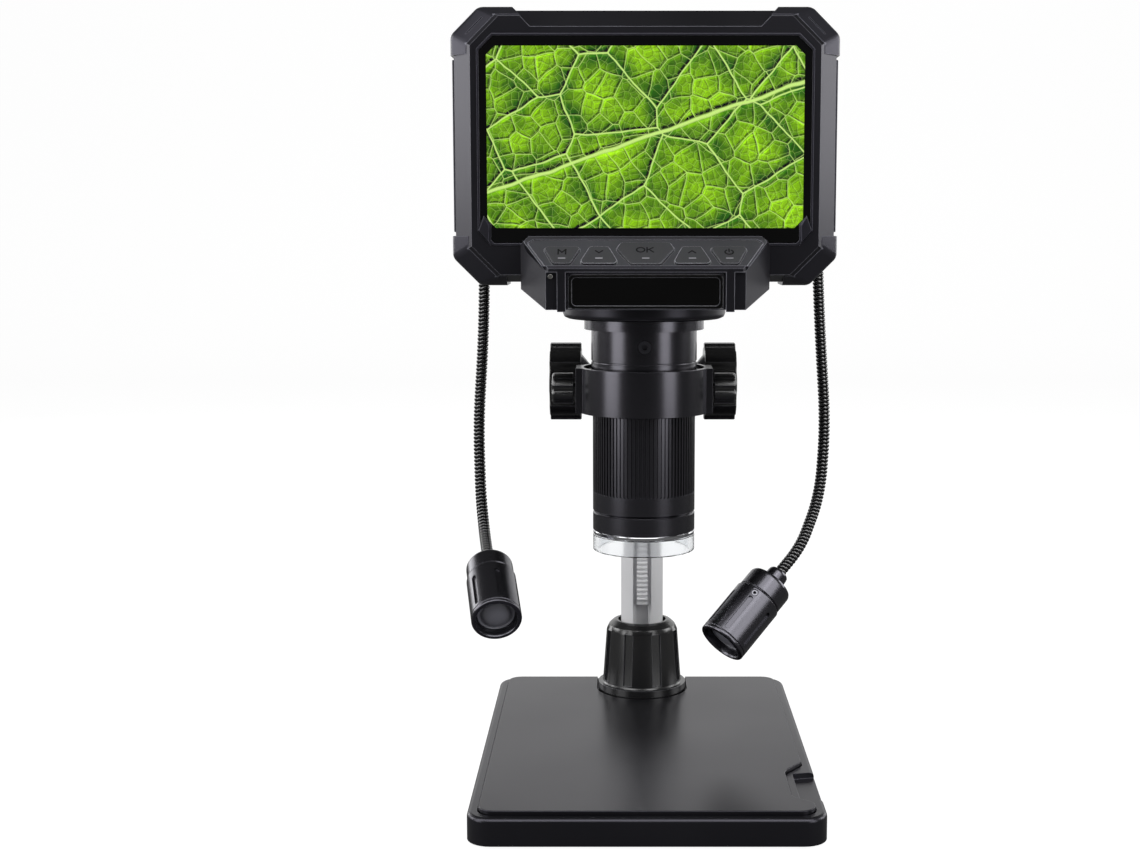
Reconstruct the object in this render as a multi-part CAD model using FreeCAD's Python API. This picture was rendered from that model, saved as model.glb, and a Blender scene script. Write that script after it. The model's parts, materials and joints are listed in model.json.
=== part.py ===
import FreeCAD, Part
import math
import os

# LCD digital microscope on a rack-and-pinion column stand, with two lamps on bendable arms.
# Millimetres. +Z up, the screen faces -Y, and Z = 0 is the underside of the base pad.
# X = 0 is the middle plane of base, column, barrel and head.

Vector = FreeCAD.Vector

# Base, pad and stage plate
BASE_WIDTH = 101.0
BASE_DEPTH = 143.0
BASE_CORNER = 7.0
BASE_BOTTOM = 0.8
BASE_TOP = 8.8
BASE_CHAMFER = 1.4
PAD_INSET = 2.2
PAD_TOP = 1.5
PLATE_INSET = 3.2
PLATE_CORNER = 4.5
PLATE_GAP = 0.3
PLATE_FLOOR = 7.4
PLATE_TOP = 10.0
NOTCH_X = 41.5
NOTCH_BACK_Y = -26.3
NOTCH_DEEP_Y = -34.3
NOTCH_FRONT_Y = -56.2
POCKET_INSET = 2.4
POCKET_FLOOR = 7.0

# Column, boss and rack
COLUMN_Y = 55.3
COLUMN_RADIUS = 7.25
COLUMN_TOP = 176.0
GROOVE_WIDTH = 6.25
GROOVE_DEPTH = 3.35
SLOT_WIDTH = 4.3
SLOT_DEPTH = 5.6
SLOT_BOTTOM = 28.0
BOSS_FLANGE_RADIUS = 15.2
BOSS_FLANGE_TOP = 12.5
BOSS_FOOT_RADIUS = 13.6
BOSS_SHOULDER_RADIUS = 12.3
BOSS_SHOULDER_Z = 31.0
BOSS_TOP = 34.5
BOSS_HOLE_RADIUS = 8.3
FLUTE_COUNT = 8
FLUTE_WIDTH = 3.1
FLUTE_DEPTH = 0.7
FLUTE_LENGTH_PAST_SHOULDER = 0.3
BOSS_SCREW_RADIUS = 3.0
FIT = 0.02

# Rack and pinion, module 0.5, 20 degree teeth
MODULE = 0.5
PRESSURE_ANGLE = math.radians(20.0)
PINION_TEETH = 18
RACK_WIDTH = 3.6
RACK_BOTTOM = 40.7
RACK_TEETH = 78
RACK_TIP_Y = 48.6
TOOTH_BACKLASH = 0.05
PINION_FACE = 4.4
RACK_PITCH_Y = RACK_TIP_Y + MODULE
PINION_RADIUS = MODULE * PINION_TEETH / 2
PINION_Y = RACK_PITCH_Y - PINION_RADIUS
PINION_Z = 119.0
TOOTH_PITCH = math.pi * MODULE

# Focus carriage
BLOCK_HALF_WIDTH = 13.0
BLOCK_FRONT_Y = 36.0
BLOCK_BACK_Y = 67.0
BLOCK_BOTTOM = 103.0
BLOCK_TOP = 135.0
RUNNING_GAP = 0.06
SHAFT_RADIUS = 2.5
BUSH_RADIUS = 4.2
KNOB_RADIUS = 13.0
KNOB_INNER_X = 20.6
KNOB_OUTER_X = 31.0
KNOB_LOBES = 8
KNOB_VALLEY_RADIUS = 3.6
KNOB_VALLEY_OUTSIDE = 2.2
SLEEVE_RADIUS = 4.6

# Barrel holder, liner and thumbscrews
BARREL_Y = 13.3
RING_RADIUS = 20.5
RING_BOTTOM = 112.3
RING_TOP = 126.6
LINER_RADIUS = 19.1
LINER_BORE = 16.85
LUG_X = 21.6
THUMB_Z = 119.7
THUMB_RADIUS = 5.0
THUMB_INNER_X = 22.4
THUMB_OUTER_X = 29.2
THUMB_LOBES = 6
THUMB_VALLEY_RADIUS = 1.7
THUMB_VALLEY_OUTSIDE = 0.9
TIP_RADIUS = 1.9
HOLDER_SCREW_X = 6.0

# Barrel
TUBE_RADIUS = 16.75
FLANGE_RADIUS = 18.95
FLANGE_BOTTOM = 138.7
FLANGE_TOP = 142.2
SLEEVE_TOP = 112.1
FOCUS_RING_RADIUS = 16.3
FOCUS_RING_BOTTOM = 80.6
RIB_BOTTOM = 86.7
RIB_COUNT = 80
RIB_DEPTH = 0.35
RIB_GAP = 0.64
NOSE_TOP = 80.4
TRIM_TOP = 74.4
GUARD_TOP = 73.0
GUARD_BOTTOM = 67.9
GUARD_RADIUS = 16.25
INNER_TUBE_RADIUS = 14.0
INNER_TUBE_BORE = 12.6
BARREL_SCREW_Z = 133.9
LED_COUNT = 8
LED_CIRCLE_RADIUS = 10.4

# Head
HEAD_CENTRE_Z = 194.7
FACE_Y = -9.4
FACE_HALF_WIDTH = 52.3
FACE_HALF_HEIGHT = 38.3
SHELL_HALF_WIDTH = 57.6
SHELL_HALF_HEIGHT = 40.6
BUMPER_PROUD = 1.1
SHELL_CUT = 8.0
FACE_CUT = 8.6
BEVEL_BACK_Y = -3.2
SPLIT_Y = 4.0
REAR_BEVEL_Y = 12.0
REAR_Y = 18.0
REAR_INSET = 5.0
WALL = 2.2
GLASS_HALF_WIDTH = 49.6
GLASS_BOTTOM = 166.0
GLASS_TOP = 227.1
GLASS_CUT = 4.2
GLASS_THICKNESS = 1.0
LCD_WIDTH = 95.04
LCD_HEIGHT = 53.86
LCD_CENTRE_Z = 197.4
COLLAR_RADIUS = 25.7
COLLAR_TOP = 153.0
HUMP_TOP = 186.0
HUMP_CHAMFER = 4.0
RECESS_BOTTOM = 229.9
RECESS_HALF_WIDTHS = (41.4, 34.3)
VENT_COUNT = 5
VENT_PITCH = 3.4
VENT_HALF_HEIGHT = 0.7

# Control chin
CHIN_HALF_WIDTH = 37.5
CHIN_FRONT_HALF_WIDTH = 28.7
COVER_HALF_WIDTH = 36.4
COVER_FRONT_HALF_WIDTH = 30.6
COVER_DEEP = 2.4
CHIN_FRONT_Y = -24.3
SLOPE_START_Y = -10.5
SLOPE_START_Z = 167.5
SLOPE_ANGLE = 31.67
SLOPE_LENGTH = 15.3
BUTTON_PROUD = 0.35
BUTTON_DEEP = 1.6
BUTTON_GAP = 0.15
WINDOW_HALF_WIDTH = 22.8
WINDOW_BOTTOM = 146.9
WINDOW_TOP = 157.0
WINDOW_BACK = 2.3
SEAT_TOP = 157.7
CHIN_BOTTOM = 146.0

# Lamps and their arms
YOKE_Z = 186.0
YOKE_RADIUS = 10.0
YOKE_GRIP = 8.0
ARM_RADIUS = 1.75
ARM_SOCKET_X = 11.0
ARM_BEND_SHARE = 0.45
NECK_BALL_RADIUS = 2.2
NECK_BACK = 2.6
LAMP_RADIUS = 8.0
LAMP_LENGTH = 27.0
LAMP_CAP_LENGTH = 7.0
LENS_RADIUS = 6.0
LAMP_SLOT_COUNT = 6
LAMP_SLOT_WIDTH = 1.7
LAMP_SLOT_DEPTH = 0.7
LEFT_BACK = Vector(-50.3, 18.9, 60.7)
LEFT_AIM = Vector(0.154, -0.886, -0.451)
RIGHT_BACK = Vector(41.6, 17.7, 55.5)
RIGHT_AIM = Vector(-0.632, -0.470, -0.637)


def box(x0, x1, y0, y1, z0, z1):
    return Part.makeBox(x1 - x0, y1 - y0, z1 - z0, Vector(x0, y0, z0))


def rod(radius, start, direction, length):
    return Part.makeCylinder(radius, length, start, direction)


def post(radius, x, y, z0, z1):
    return rod(radius, Vector(x, y, z0), Vector(0, 0, 1), z1 - z0)


def closed_face(points):
    return Part.Face(Part.makePolygon(points + points[:1]))


def plate(points, z0, z1):
    face = closed_face([Vector(x, y, z0) for x, y in points])
    return face.extrude(Vector(0, 0, z1 - z0))


def panel(points, y0, y1):
    face = closed_face([Vector(x, y0, z) for x, z in points])
    return face.extrude(Vector(0, y1 - y0, 0))


def lathe(profile, x, y):
    face = closed_face([Vector(x + r, y, z) for r, z in profile])
    return face.revolve(Vector(x, y, 0), Vector(0, 0, 1), 360)


def mirror_x(shape):
    return shape.mirror(Vector(0, 0, 0), Vector(1, 0, 0))


def fuse(shapes):
    result = shapes[0]
    for shape in shapes[1:]:
        result = result.fuse(shape)
    return result.removeSplitter()


def cut(shape, tools):
    for tool in tools:
        shape = shape.cut(tool)
    return shape


def rounded_wire(points, radii, z):
    # a closed outline of straight runs, with a tangent arc of its own radius at each corner
    edges = []
    count = len(points)
    corners = []
    for i in range(count):
        here = Vector(points[i][0], points[i][1], z)
        before = Vector(points[i - 1][0], points[i - 1][1], z) - here
        after = Vector(points[(i + 1) % count][0], points[(i + 1) % count][1], z) - here
        before.normalize()
        after.normalize()
        half = before.getAngle(after) / 2
        reach = radii[i] / math.tan(half)
        middle = before + after
        middle.normalize()
        centre = here + middle * (radii[i] / math.sin(half))
        corners.append((here + before * reach, centre - middle * radii[i], here + after * reach))
    for i in range(count):
        start, mid, end = corners[i]
        edges.append(Part.Arc(start, mid, end).toShape())
        edges.append(Part.LineSegment(end, corners[(i + 1) % count][0]).toShape())
    return Part.Wire(edges)


def rounded_plate(points, radii, z0, z1):
    return Part.Face(rounded_wire(points, radii, z0)).extrude(Vector(0, 0, z1 - z0))


def rectangle(half_width, half_depth):
    w, d = half_width, half_depth
    return [(-w, -d), (w, -d), (w, d), (-w, d)]


def octagon(half_width, half_height, corner, centre_z):
    w, h, c = half_width, half_height, corner
    low = [(-w, c - h), (c - w, -h), (w - c, -h), (w, c - h)]
    points = low + [(-x, -z) for x, z in low]
    return [(x, z + centre_z) for x, z in points]


def frustum(outline_a, y_a, outline_b, y_b):
    wires = []
    for outline, y in ((outline_a, y_a), (outline_b, y_b)):
        points = [Vector(x, y, z) for x, z in outline]
        wires.append(Part.makePolygon(points + points[:1]))
    return Part.makeLoft(wires, True, True)


# Stand

def base_outline(inset):
    return rectangle(BASE_WIDTH / 2 - inset, BASE_DEPTH / 2 - inset)


def stage_outline(gap):
    # the right side steps in round the finger notch near the front
    side = BASE_WIDTH / 2 - PLATE_INSET + gap
    end = BASE_DEPTH / 2 - PLATE_INSET + gap
    notch = NOTCH_X + gap
    points = [(-side, -end), (side, -end), (side, NOTCH_FRONT_Y - 5.0 + gap), (notch, NOTCH_FRONT_Y + gap),
              (notch, NOTCH_DEEP_Y - gap), (side, NOTCH_BACK_Y - gap), (side, end), (-side, end)]
    radii = [PLATE_CORNER, PLATE_CORNER, 1.5, 2.0, 2.0, 1.5, PLATE_CORNER, PLATE_CORNER]
    return points, radii


def boss_clearance(radius, z0, z1):
    round_end = post(radius, 0, COLUMN_Y, z0, z1)
    open_end = box(-radius, radius, COLUMN_Y, BASE_DEPTH / 2 + 5.0, z0, z1)
    return fuse([round_end, open_end])


def make_base_plate():
    body = rounded_plate(base_outline(0), [BASE_CORNER] * 4, BASE_BOTTOM, BASE_TOP)
    rim = [edge for edge in body.Edges if min(v.Z for v in edge.Vertexes) > BASE_TOP - 0.01]
    body = body.makeChamfer(BASE_CHAMFER, rim)
    points, radii = stage_outline(PLATE_GAP)
    recess = rounded_plate(points, radii, PLATE_FLOOR, BASE_TOP + 5.0)
    recess = recess.cut(boss_clearance(BOSS_FLANGE_RADIUS + 0.2, PLATE_FLOOR - 1.0, BASE_TOP + 6.0))
    inner = NOTCH_X + POCKET_INSET
    pocket_outline = [(inner, NOTCH_DEEP_Y + 0.6), (BASE_WIDTH, NOTCH_DEEP_Y + 6.6),
                      (BASE_WIDTH, NOTCH_FRONT_Y - 2.0), (inner, NOTCH_FRONT_Y + 0.8)]
    pocket = plate(pocket_outline, POCKET_FLOOR, BASE_TOP + 5.0)
    pad_corners = [BASE_CORNER - PAD_INSET] * 4
    pad_seat = rounded_plate(base_outline(PAD_INSET - 0.2), pad_corners, BASE_BOTTOM - 1.0, PAD_TOP)
    screw_way = post(3.2, 0, COLUMN_Y, 0, BASE_TOP + 1.0)
    screw_head = post(5.4, 0, COLUMN_Y, 0, 5.0)
    return cut(body, [recess, pocket, pad_seat, screw_way, screw_head])


def make_base_pad():
    return rounded_plate(base_outline(PAD_INSET), [BASE_CORNER - PAD_INSET] * 4, 0, PAD_TOP)


def make_stage_plate():
    points, radii = stage_outline(0)
    body = rounded_plate(points, radii, PLATE_FLOOR, PLATE_TOP)
    body = body.cut(boss_clearance(BOSS_FLANGE_RADIUS + 0.5, 0, PLATE_TOP + 5.0))
    rim = [edge for edge in body.Edges if min(v.Z for v in edge.Vertexes) > PLATE_TOP - 0.01]
    return body.makeChamfer(0.3, rim)


def make_column_boss():
    profile = [(COLUMN_RADIUS + FIT, BASE_TOP), (BOSS_FLANGE_RADIUS, BASE_TOP),
               (BOSS_FLANGE_RADIUS, BOSS_FLANGE_TOP - 0.7), (BOSS_FLANGE_RADIUS - 0.7, BOSS_FLANGE_TOP),
               (BOSS_FOOT_RADIUS + 0.4, BOSS_FLANGE_TOP), (BOSS_FOOT_RADIUS, BOSS_FLANGE_TOP + 0.4),
               (BOSS_SHOULDER_RADIUS, BOSS_SHOULDER_Z), (BOSS_SHOULDER_RADIUS - 0.8, BOSS_SHOULDER_Z + 1.8),
               (BOSS_SHOULDER_RADIUS - 2.2, BOSS_TOP - 0.4), (BOSS_SHOULDER_RADIUS - 3.2, BOSS_TOP),
               (BOSS_HOLE_RADIUS, BOSS_TOP), (BOSS_HOLE_RADIUS, BOSS_TOP - 4.0),
               (COLUMN_RADIUS + FIT, BOSS_TOP - 4.0)]
    body = lathe(profile, 0, COLUMN_Y)
    foot = BOSS_FOOT_RADIUS - FLUTE_DEPTH
    shoulder = BOSS_SHOULDER_RADIUS - FLUTE_DEPTH
    low = BOSS_FLANGE_TOP + 1.0
    high = BOSS_SHOULDER_Z + FLUTE_LENGTH_PAST_SHOULDER
    outline = [Vector(foot, -FLUTE_WIDTH / 2, low), Vector(20, -FLUTE_WIDTH / 2, low),
               Vector(20, -FLUTE_WIDTH / 2, high), Vector(shoulder, -FLUTE_WIDTH / 2, high)]
    flute = closed_face(outline).extrude(Vector(0, FLUTE_WIDTH, 0))
    tools = []
    for i in range(FLUTE_COUNT):
        tool = flute.copy()
        tool.rotate(Vector(0, 0, 0), Vector(0, 0, 1), (i + 0.5) * 360.0 / FLUTE_COUNT - 90.0)
        tool.translate(Vector(0, COLUMN_Y, 0))
        tools.append(tool)
    return cut(body, tools)


def make_boss_screw():
    head = post(5.0, 0, COLUMN_Y, PAD_TOP, 4.6)
    shank = post(BOSS_SCREW_RADIUS - 0.05, 0, COLUMN_Y, 4.6, 24.0)
    socket = hex_socket(2.6, Vector(0, COLUMN_Y, PAD_TOP), Vector(0, 0, 1), 1.8)
    return fuse([head, shank]).cut(socket)


def make_column():
    body = post(COLUMN_RADIUS, 0, COLUMN_Y, BASE_TOP, COLUMN_TOP)
    front = COLUMN_Y - COLUMN_RADIUS - 1.0
    groove_floor = COLUMN_Y - COLUMN_RADIUS + GROOVE_DEPTH
    groove = box(-GROOVE_WIDTH / 2, GROOVE_WIDTH / 2, front, groove_floor, BASE_TOP - 1.0, COLUMN_TOP + 1.0)
    slot_floor = COLUMN_Y - COLUMN_RADIUS + SLOT_DEPTH
    slot = box(-SLOT_WIDTH / 2, SLOT_WIDTH / 2, front, slot_floor, SLOT_BOTTOM, RACK_BOTTOM)
    screw_hole = post(BOSS_SCREW_RADIUS, 0, COLUMN_Y, BASE_TOP - 1.0, 24.5)
    return cut(body, [groove, slot, screw_hole])


def rack_profile():
    half_tip = TOOTH_PITCH / 4 - MODULE * math.tan(PRESSURE_ANGLE) - TOOTH_BACKLASH / 2
    half_root = TOOTH_PITCH / 4 + 1.25 * MODULE * math.tan(PRESSURE_ANGLE) - TOOTH_BACKLASH / 2
    root_y = RACK_PITCH_Y + 1.25 * MODULE
    back_y = COLUMN_Y - COLUMN_RADIUS + GROOVE_DEPTH
    # a gap between teeth lies level with the pinion's axis
    first = PINION_Z + (0.5 - round((PINION_Z - RACK_BOTTOM) / TOOTH_PITCH) + 1) * TOOTH_PITCH
    points = [(back_y, RACK_BOTTOM), (root_y, RACK_BOTTOM)]
    for i in range(RACK_TEETH):
        z = first + i * TOOTH_PITCH
        points += [(root_y, z - half_root), (RACK_TIP_Y, z - half_tip)]
        points += [(RACK_TIP_Y, z + half_tip), (root_y, z + half_root)]
    rack_top = points[-1][1] + TOOTH_PITCH / 2
    points += [(root_y, rack_top), (back_y, rack_top)]
    return points


def make_rack():
    face = closed_face([Vector(-RACK_WIDTH / 2, y, z) for y, z in rack_profile()])
    return face.extrude(Vector(RACK_WIDTH, 0, 0))


def make_lamp_yoke():
    low = COLUMN_TOP - YOKE_GRIP
    profile = [(0, COLUMN_TOP), (COLUMN_RADIUS + FIT, COLUMN_TOP), (COLUMN_RADIUS + FIT, low),
               (YOKE_RADIUS - 0.4, low), (YOKE_RADIUS, low + 0.4), (YOKE_RADIUS, 192.5), (8.6, 194.6),
               (5.0, 195.8), (0, 196.0)]
    cap = lathe(profile, 0, COLUMN_Y)
    arms = rod(4.2, Vector(-16.5, COLUMN_Y, YOKE_Z), Vector(1, 0, 0), 33.0)
    body = fuse([cap, arms])
    bore = ARM_RADIUS + RUNNING_GAP
    left = rod(bore, Vector(-17.0, COLUMN_Y, YOKE_Z), Vector(1, 0, 0), 17.0 - ARM_SOCKET_X + 0.2)
    inlet = box(-4.5, 4.5, COLUMN_Y + 6.0, COLUMN_Y + 12.0, 179.9, 183.1)
    return cut(body, [left, mirror_x(left), inlet])


def make_lamp_inlet():
    # a small USB-C shaped socket in the back of the yoke
    shell = rounded_panel(8.9, 3.1, 1.5, COLUMN_Y + 6.1, COLUMN_Y + 9.9, 181.5)
    mouth = rounded_panel(8.3, 2.5, 1.2, COLUMN_Y + 7.2, COLUMN_Y + 11.0, 181.5)
    tongue = box(-3.2, 3.2, COLUMN_Y + 7.0, COLUMN_Y + 9.4, 181.15, 181.85)
    return fuse([shell.cut(mouth), tongue])


def rounded_panel(width, height, corner, y0, y1, centre_z):
    face = rounded_plate(rectangle(width / 2, height / 2), [corner] * 4, 0, y1 - y0)
    face.rotate(Vector(0, 0, 0), Vector(1, 0, 0), 90)
    face.translate(Vector(0, y1, centre_z))
    return face


def hex_socket(radius, mouth, inward, depth):
    points = []
    for i in range(6):
        angle = math.radians(60 * i)
        points.append(Vector(radius * math.cos(angle), radius * math.sin(angle), -0.5))
    prism = closed_face(points).extrude(Vector(0, 0, depth + 0.5))
    prism.Placement = FreeCAD.Placement(mouth, FreeCAD.Rotation(Vector(0, 0, 1), inward))
    return prism


# Focus carriage

def make_focus_block():
    width = BLOCK_HALF_WIDTH
    body = box(-width, width, BLOCK_FRONT_Y, COLUMN_Y, BLOCK_BOTTOM, BLOCK_TOP)
    back = post(width, 0, COLUMN_Y, BLOCK_BOTTOM, BLOCK_TOP)
    screw_boss = box(-6.0, 6.0, COLUMN_Y, BLOCK_BACK_Y + 3.0, PINION_Z - 6.0, PINION_Z + 6.0)
    body = fuse([body, back, screw_boss])
    bore = post(COLUMN_RADIUS + RUNNING_GAP, 0, COLUMN_Y, BLOCK_BOTTOM - 1.0, BLOCK_TOP + 1.0)
    pinion_room = rod(PINION_RADIUS + MODULE + 0.3, Vector(-2.8, PINION_Y, PINION_Z), Vector(1, 0, 0), 5.6)
    shaft_way = rod(SHAFT_RADIUS + 0.4, Vector(-20.0, PINION_Y, PINION_Z), Vector(1, 0, 0), 40.0)
    bush_left = rod(BUSH_RADIUS + FIT, Vector(-width - 1.0, PINION_Y, PINION_Z), Vector(1, 0, 0), 6.0)
    pad_way = rod(2.6, Vector(0, COLUMN_Y, PINION_Z), Vector(0, 1, 0), 9.4)
    screw_way = rod(3.05, Vector(0, COLUMN_Y + 9.4, PINION_Z), Vector(0, 1, 0), 8.0)
    tools = [bore, pinion_room, shaft_way, bush_left, mirror_x(bush_left), pad_way, screw_way]
    for x in (-HOLDER_SCREW_X, HOLDER_SCREW_X):
        tools.append(rod(1.5, Vector(x, BLOCK_FRONT_Y - 1.0, THUMB_Z), Vector(0, 1, 0), 5.5))
    return cut(body, tools)


def make_shaft_bushes():
    outer = rod(BUSH_RADIUS, Vector(-BLOCK_HALF_WIDTH, PINION_Y, PINION_Z), Vector(1, 0, 0), 5.0)
    start = Vector(-BLOCK_HALF_WIDTH - 1, PINION_Y, PINION_Z)
    bore = rod(SHAFT_RADIUS + RUNNING_GAP, start, Vector(1, 0, 0), 7.0)
    left = outer.cut(bore)
    return Part.makeCompound([left, mirror_x(left)])


def make_tension_screw():
    # its nose drags on the back of the column, so the head stays at the height it is set to
    start = COLUMN_Y + COLUMN_RADIUS + 2.2
    nose = rod(2.5, Vector(0, COLUMN_Y + COLUMN_RADIUS + RUNNING_GAP, PINION_Z), Vector(0, 1, 0), 2.2)
    thread = rod(3.0, Vector(0, start, PINION_Z), Vector(0, 1, 0), BLOCK_BACK_Y + 2.4 - start)
    body = fuse([nose, thread])
    return body.cut(box(-3.5, 3.5, BLOCK_BACK_Y + 1.6, BLOCK_BACK_Y + 5.0, PINION_Z - 0.4, PINION_Z + 0.4))


def make_ring_holder():
    inner = LINER_RADIUS + 0.05
    profile = [(inner, RING_BOTTOM), (RING_RADIUS - 0.5, RING_BOTTOM), (RING_RADIUS, RING_BOTTOM + 0.5),
               (RING_RADIUS, RING_TOP - 0.6), (RING_RADIUS - 0.6, RING_TOP), (inner, RING_TOP)]
    ring = lathe(profile, 0, BARREL_Y)
    lug = box(18.0, LUG_X, BARREL_Y - 6.6, BARREL_Y + 6.6, RING_BOTTOM, RING_TOP)
    lug_edges = [edge for edge in lug.Edges if min(v.X for v in edge.Vertexes) > LUG_X - 0.01]
    lug = lug.makeChamfer(0.6, lug_edges)
    arm = box(-11.0, 11.0, BARREL_Y + 15.0, BLOCK_FRONT_Y, RING_BOTTOM, RING_TOP)
    body = fuse([ring, lug, mirror_x(lug), arm])
    bore = post(LINER_RADIUS + 0.05, 0, BARREL_Y, RING_BOTTOM - 1.0, RING_TOP + 1.0)
    screw_way = rod(2.05, Vector(-25.0, BARREL_Y, THUMB_Z), Vector(1, 0, 0), 50.0)
    tools = [bore, screw_way]
    for x in (-HOLDER_SCREW_X, HOLDER_SCREW_X):
        tools.append(rod(1.6, Vector(x, BARREL_Y, THUMB_Z), Vector(0, 1, 0), 30.0))
        tools.append(rod(2.9, Vector(x, BARREL_Y, THUMB_Z), Vector(0, 1, 0), 20.9))
    return cut(body, tools)


def make_holder_screws():
    screws = []
    for x in (-HOLDER_SCREW_X, HOLDER_SCREW_X):
        head = rod(2.8, Vector(x, BARREL_Y + 19.2, THUMB_Z), Vector(0, 1, 0), 1.7)
        shank = rod(1.5, Vector(x, BARREL_Y + 20.9, THUMB_Z), Vector(0, 1, 0), 6.0)
        socket = hex_socket(1.2, Vector(x, BARREL_Y + 19.2, THUMB_Z), Vector(0, 1, 0), 1.0)
        screws.append(fuse([head, shank]).cut(socket))
    return Part.makeCompound(screws)


def make_ring_liner():
    outer = post(LINER_RADIUS, 0, BARREL_Y, RING_BOTTOM + 0.3, RING_TOP - 1.0)
    bore = post(LINER_BORE, 0, BARREL_Y, RING_BOTTOM - 1.0, RING_TOP + 1.0)
    split = box(-1.0, 1.0, BARREL_Y, BARREL_Y + 25.0, RING_BOTTOM - 1.0, RING_TOP + 1.0)
    return cut(outer, [bore, split])


def make_thumb_tip():
    return rod(TIP_RADIUS, Vector(LINER_RADIUS + 0.08, BARREL_Y, THUMB_Z), Vector(1, 0, 0), 1.3)


def make_thumbscrew():
    x_axis = Vector(1, 0, 0)
    shank_start = Vector(LINER_RADIUS + 1.4, BARREL_Y, THUMB_Z)
    shank = rod(2.0, shank_start, x_axis, THUMB_INNER_X - LINER_RADIUS - 1.0)
    length = THUMB_OUTER_X - THUMB_INNER_X
    knob = rod(THUMB_RADIUS, Vector(THUMB_INNER_X, BARREL_Y, THUMB_Z), x_axis, length)
    rims = [edge for edge in knob.Edges if len(edge.Vertexes) == 1]
    outer_rim = [edge for edge in rims if edge.Vertexes[0].X > THUMB_OUTER_X - 0.1]
    knob = knob.makeFillet(1.4, outer_rim)
    valleys = []
    for i in range(THUMB_LOBES):
        angle = 2 * math.pi * i / THUMB_LOBES
        reach = THUMB_RADIUS + THUMB_VALLEY_OUTSIDE
        y = BARREL_Y + reach * math.cos(angle)
        centre = Vector(THUMB_INNER_X + 1.0, y, THUMB_Z + reach * math.sin(angle))
        valleys.append(rod(THUMB_VALLEY_RADIUS, centre, x_axis, length))
    return fuse([cut(knob, valleys), shank])


# Pinion and focus knobs

def pinion_outline():
    base_radius = PINION_RADIUS * math.cos(PRESSURE_ANGLE)
    tip_radius = PINION_RADIUS + MODULE
    root_radius = PINION_RADIUS - 1.25 * MODULE
    involute = math.tan(PRESSURE_ANGLE) - PRESSURE_ANGLE
    half_angle = math.pi / (2 * PINION_TEETH) - TOOTH_BACKLASH / (2 * PINION_RADIUS) + involute
    flank = []
    for step in range(4):
        radius = base_radius + (tip_radius - base_radius) * step / 3
        roll = math.acos(base_radius / radius)
        flank.append((radius, half_angle - (math.tan(roll) - roll)))
    points = []
    for i in range(PINION_TEETH):
        middle = 2 * math.pi * i / PINION_TEETH
        points.append((root_radius, middle - flank[0][1]))
        points += [(radius, middle - angle) for radius, angle in flank]
        points += [(radius, middle + angle) for radius, angle in reversed(flank)]
        points.append((root_radius, middle + flank[0][1]))
    return points


def make_pinion_shaft():
    # a tooth points at the rack, along +Y
    outline = []
    for radius, angle in pinion_outline():
        y = PINION_Y + radius * math.cos(angle)
        outline.append(Vector(-PINION_FACE / 2, y, PINION_Z + radius * math.sin(angle)))
    pinion = closed_face(outline).extrude(Vector(PINION_FACE, 0, 0))
    shaft = rod(SHAFT_RADIUS, Vector(-29.0, PINION_Y, PINION_Z), Vector(1, 0, 0), 58.0)
    return fuse([pinion, shaft])


def make_focus_knob():
    x_axis = Vector(1, 0, 0)
    width = KNOB_OUTER_X - KNOB_INNER_X
    grip = rod(KNOB_RADIUS, Vector(KNOB_INNER_X, PINION_Y, PINION_Z), x_axis, width)
    grip = grip.makeChamfer(0.9, [edge for edge in grip.Edges if len(edge.Vertexes) == 1])
    valleys = []
    for i in range(KNOB_LOBES):
        angle = 2 * math.pi * (i + 0.5) / KNOB_LOBES
        reach = KNOB_RADIUS + KNOB_VALLEY_OUTSIDE
        y = PINION_Y + reach * math.cos(angle)
        centre = Vector(KNOB_INNER_X - 1.0, y, PINION_Z + reach * math.sin(angle))
        valleys.append(rod(KNOB_VALLEY_RADIUS, centre, x_axis, width + 2.0))
    dish = rod(8.2, Vector(KNOB_OUTER_X - 0.8, PINION_Y, PINION_Z), x_axis, 2.0)
    cone_start = Vector(KNOB_INNER_X - 3.5, PINION_Y, PINION_Z)
    cone = Part.makeCone(SLEEVE_RADIUS + 0.4, 9.4, 3.5, cone_start, x_axis)
    sleeve = rod(SLEEVE_RADIUS, Vector(BLOCK_HALF_WIDTH + 0.3, PINION_Y, PINION_Z), x_axis, 5.0)
    body = fuse([cut(grip, valleys).cut(dish), cone, sleeve])
    return body.cut(rod(SHAFT_RADIUS, Vector(0, PINION_Y, PINION_Z), x_axis, 29.0))


# Barrel

def ring_tool(inner, outer, z0, z1):
    return post(outer, 0, BARREL_Y, z0, z1).cut(post(inner, 0, BARREL_Y, z0 - 1.0, z1 + 1.0))


def make_barrel_tube():
    low = NOSE_TOP + 0.2
    step = SLEEVE_TOP + 0.3
    profile = [(INNER_TUBE_BORE, low), (INNER_TUBE_RADIUS, low), (INNER_TUBE_RADIUS, step),
               (TUBE_RADIUS, step), (TUBE_RADIUS, FLANGE_BOTTOM), (FLANGE_RADIUS, FLANGE_BOTTOM),
               (FLANGE_RADIUS, FLANGE_TOP - 0.4), (FLANGE_RADIUS - 0.4, FLANGE_TOP), (INNER_TUBE_BORE, FLANGE_TOP)]
    body = lathe(profile, 0, BARREL_Y)
    groove = ring_tool(TUBE_RADIUS - 0.35, TUBE_RADIUS + 1.0, RING_TOP + 1.6, RING_TOP + 2.2)
    screw_hole = rod(1.95, Vector(0, BARREL_Y - 25.0, BARREL_SCREW_Z), Vector(0, 1, 0), 14.0)
    return cut(body, [groove, screw_hole])


def make_barrel_screw():
    start = Vector(0, BARREL_Y - TUBE_RADIUS + 0.1, BARREL_SCREW_Z)
    body = rod(1.9, start, Vector(0, 1, 0), 3.8)
    return body.cut(hex_socket(1.05, start, Vector(0, 1, 0), 1.6))


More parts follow.
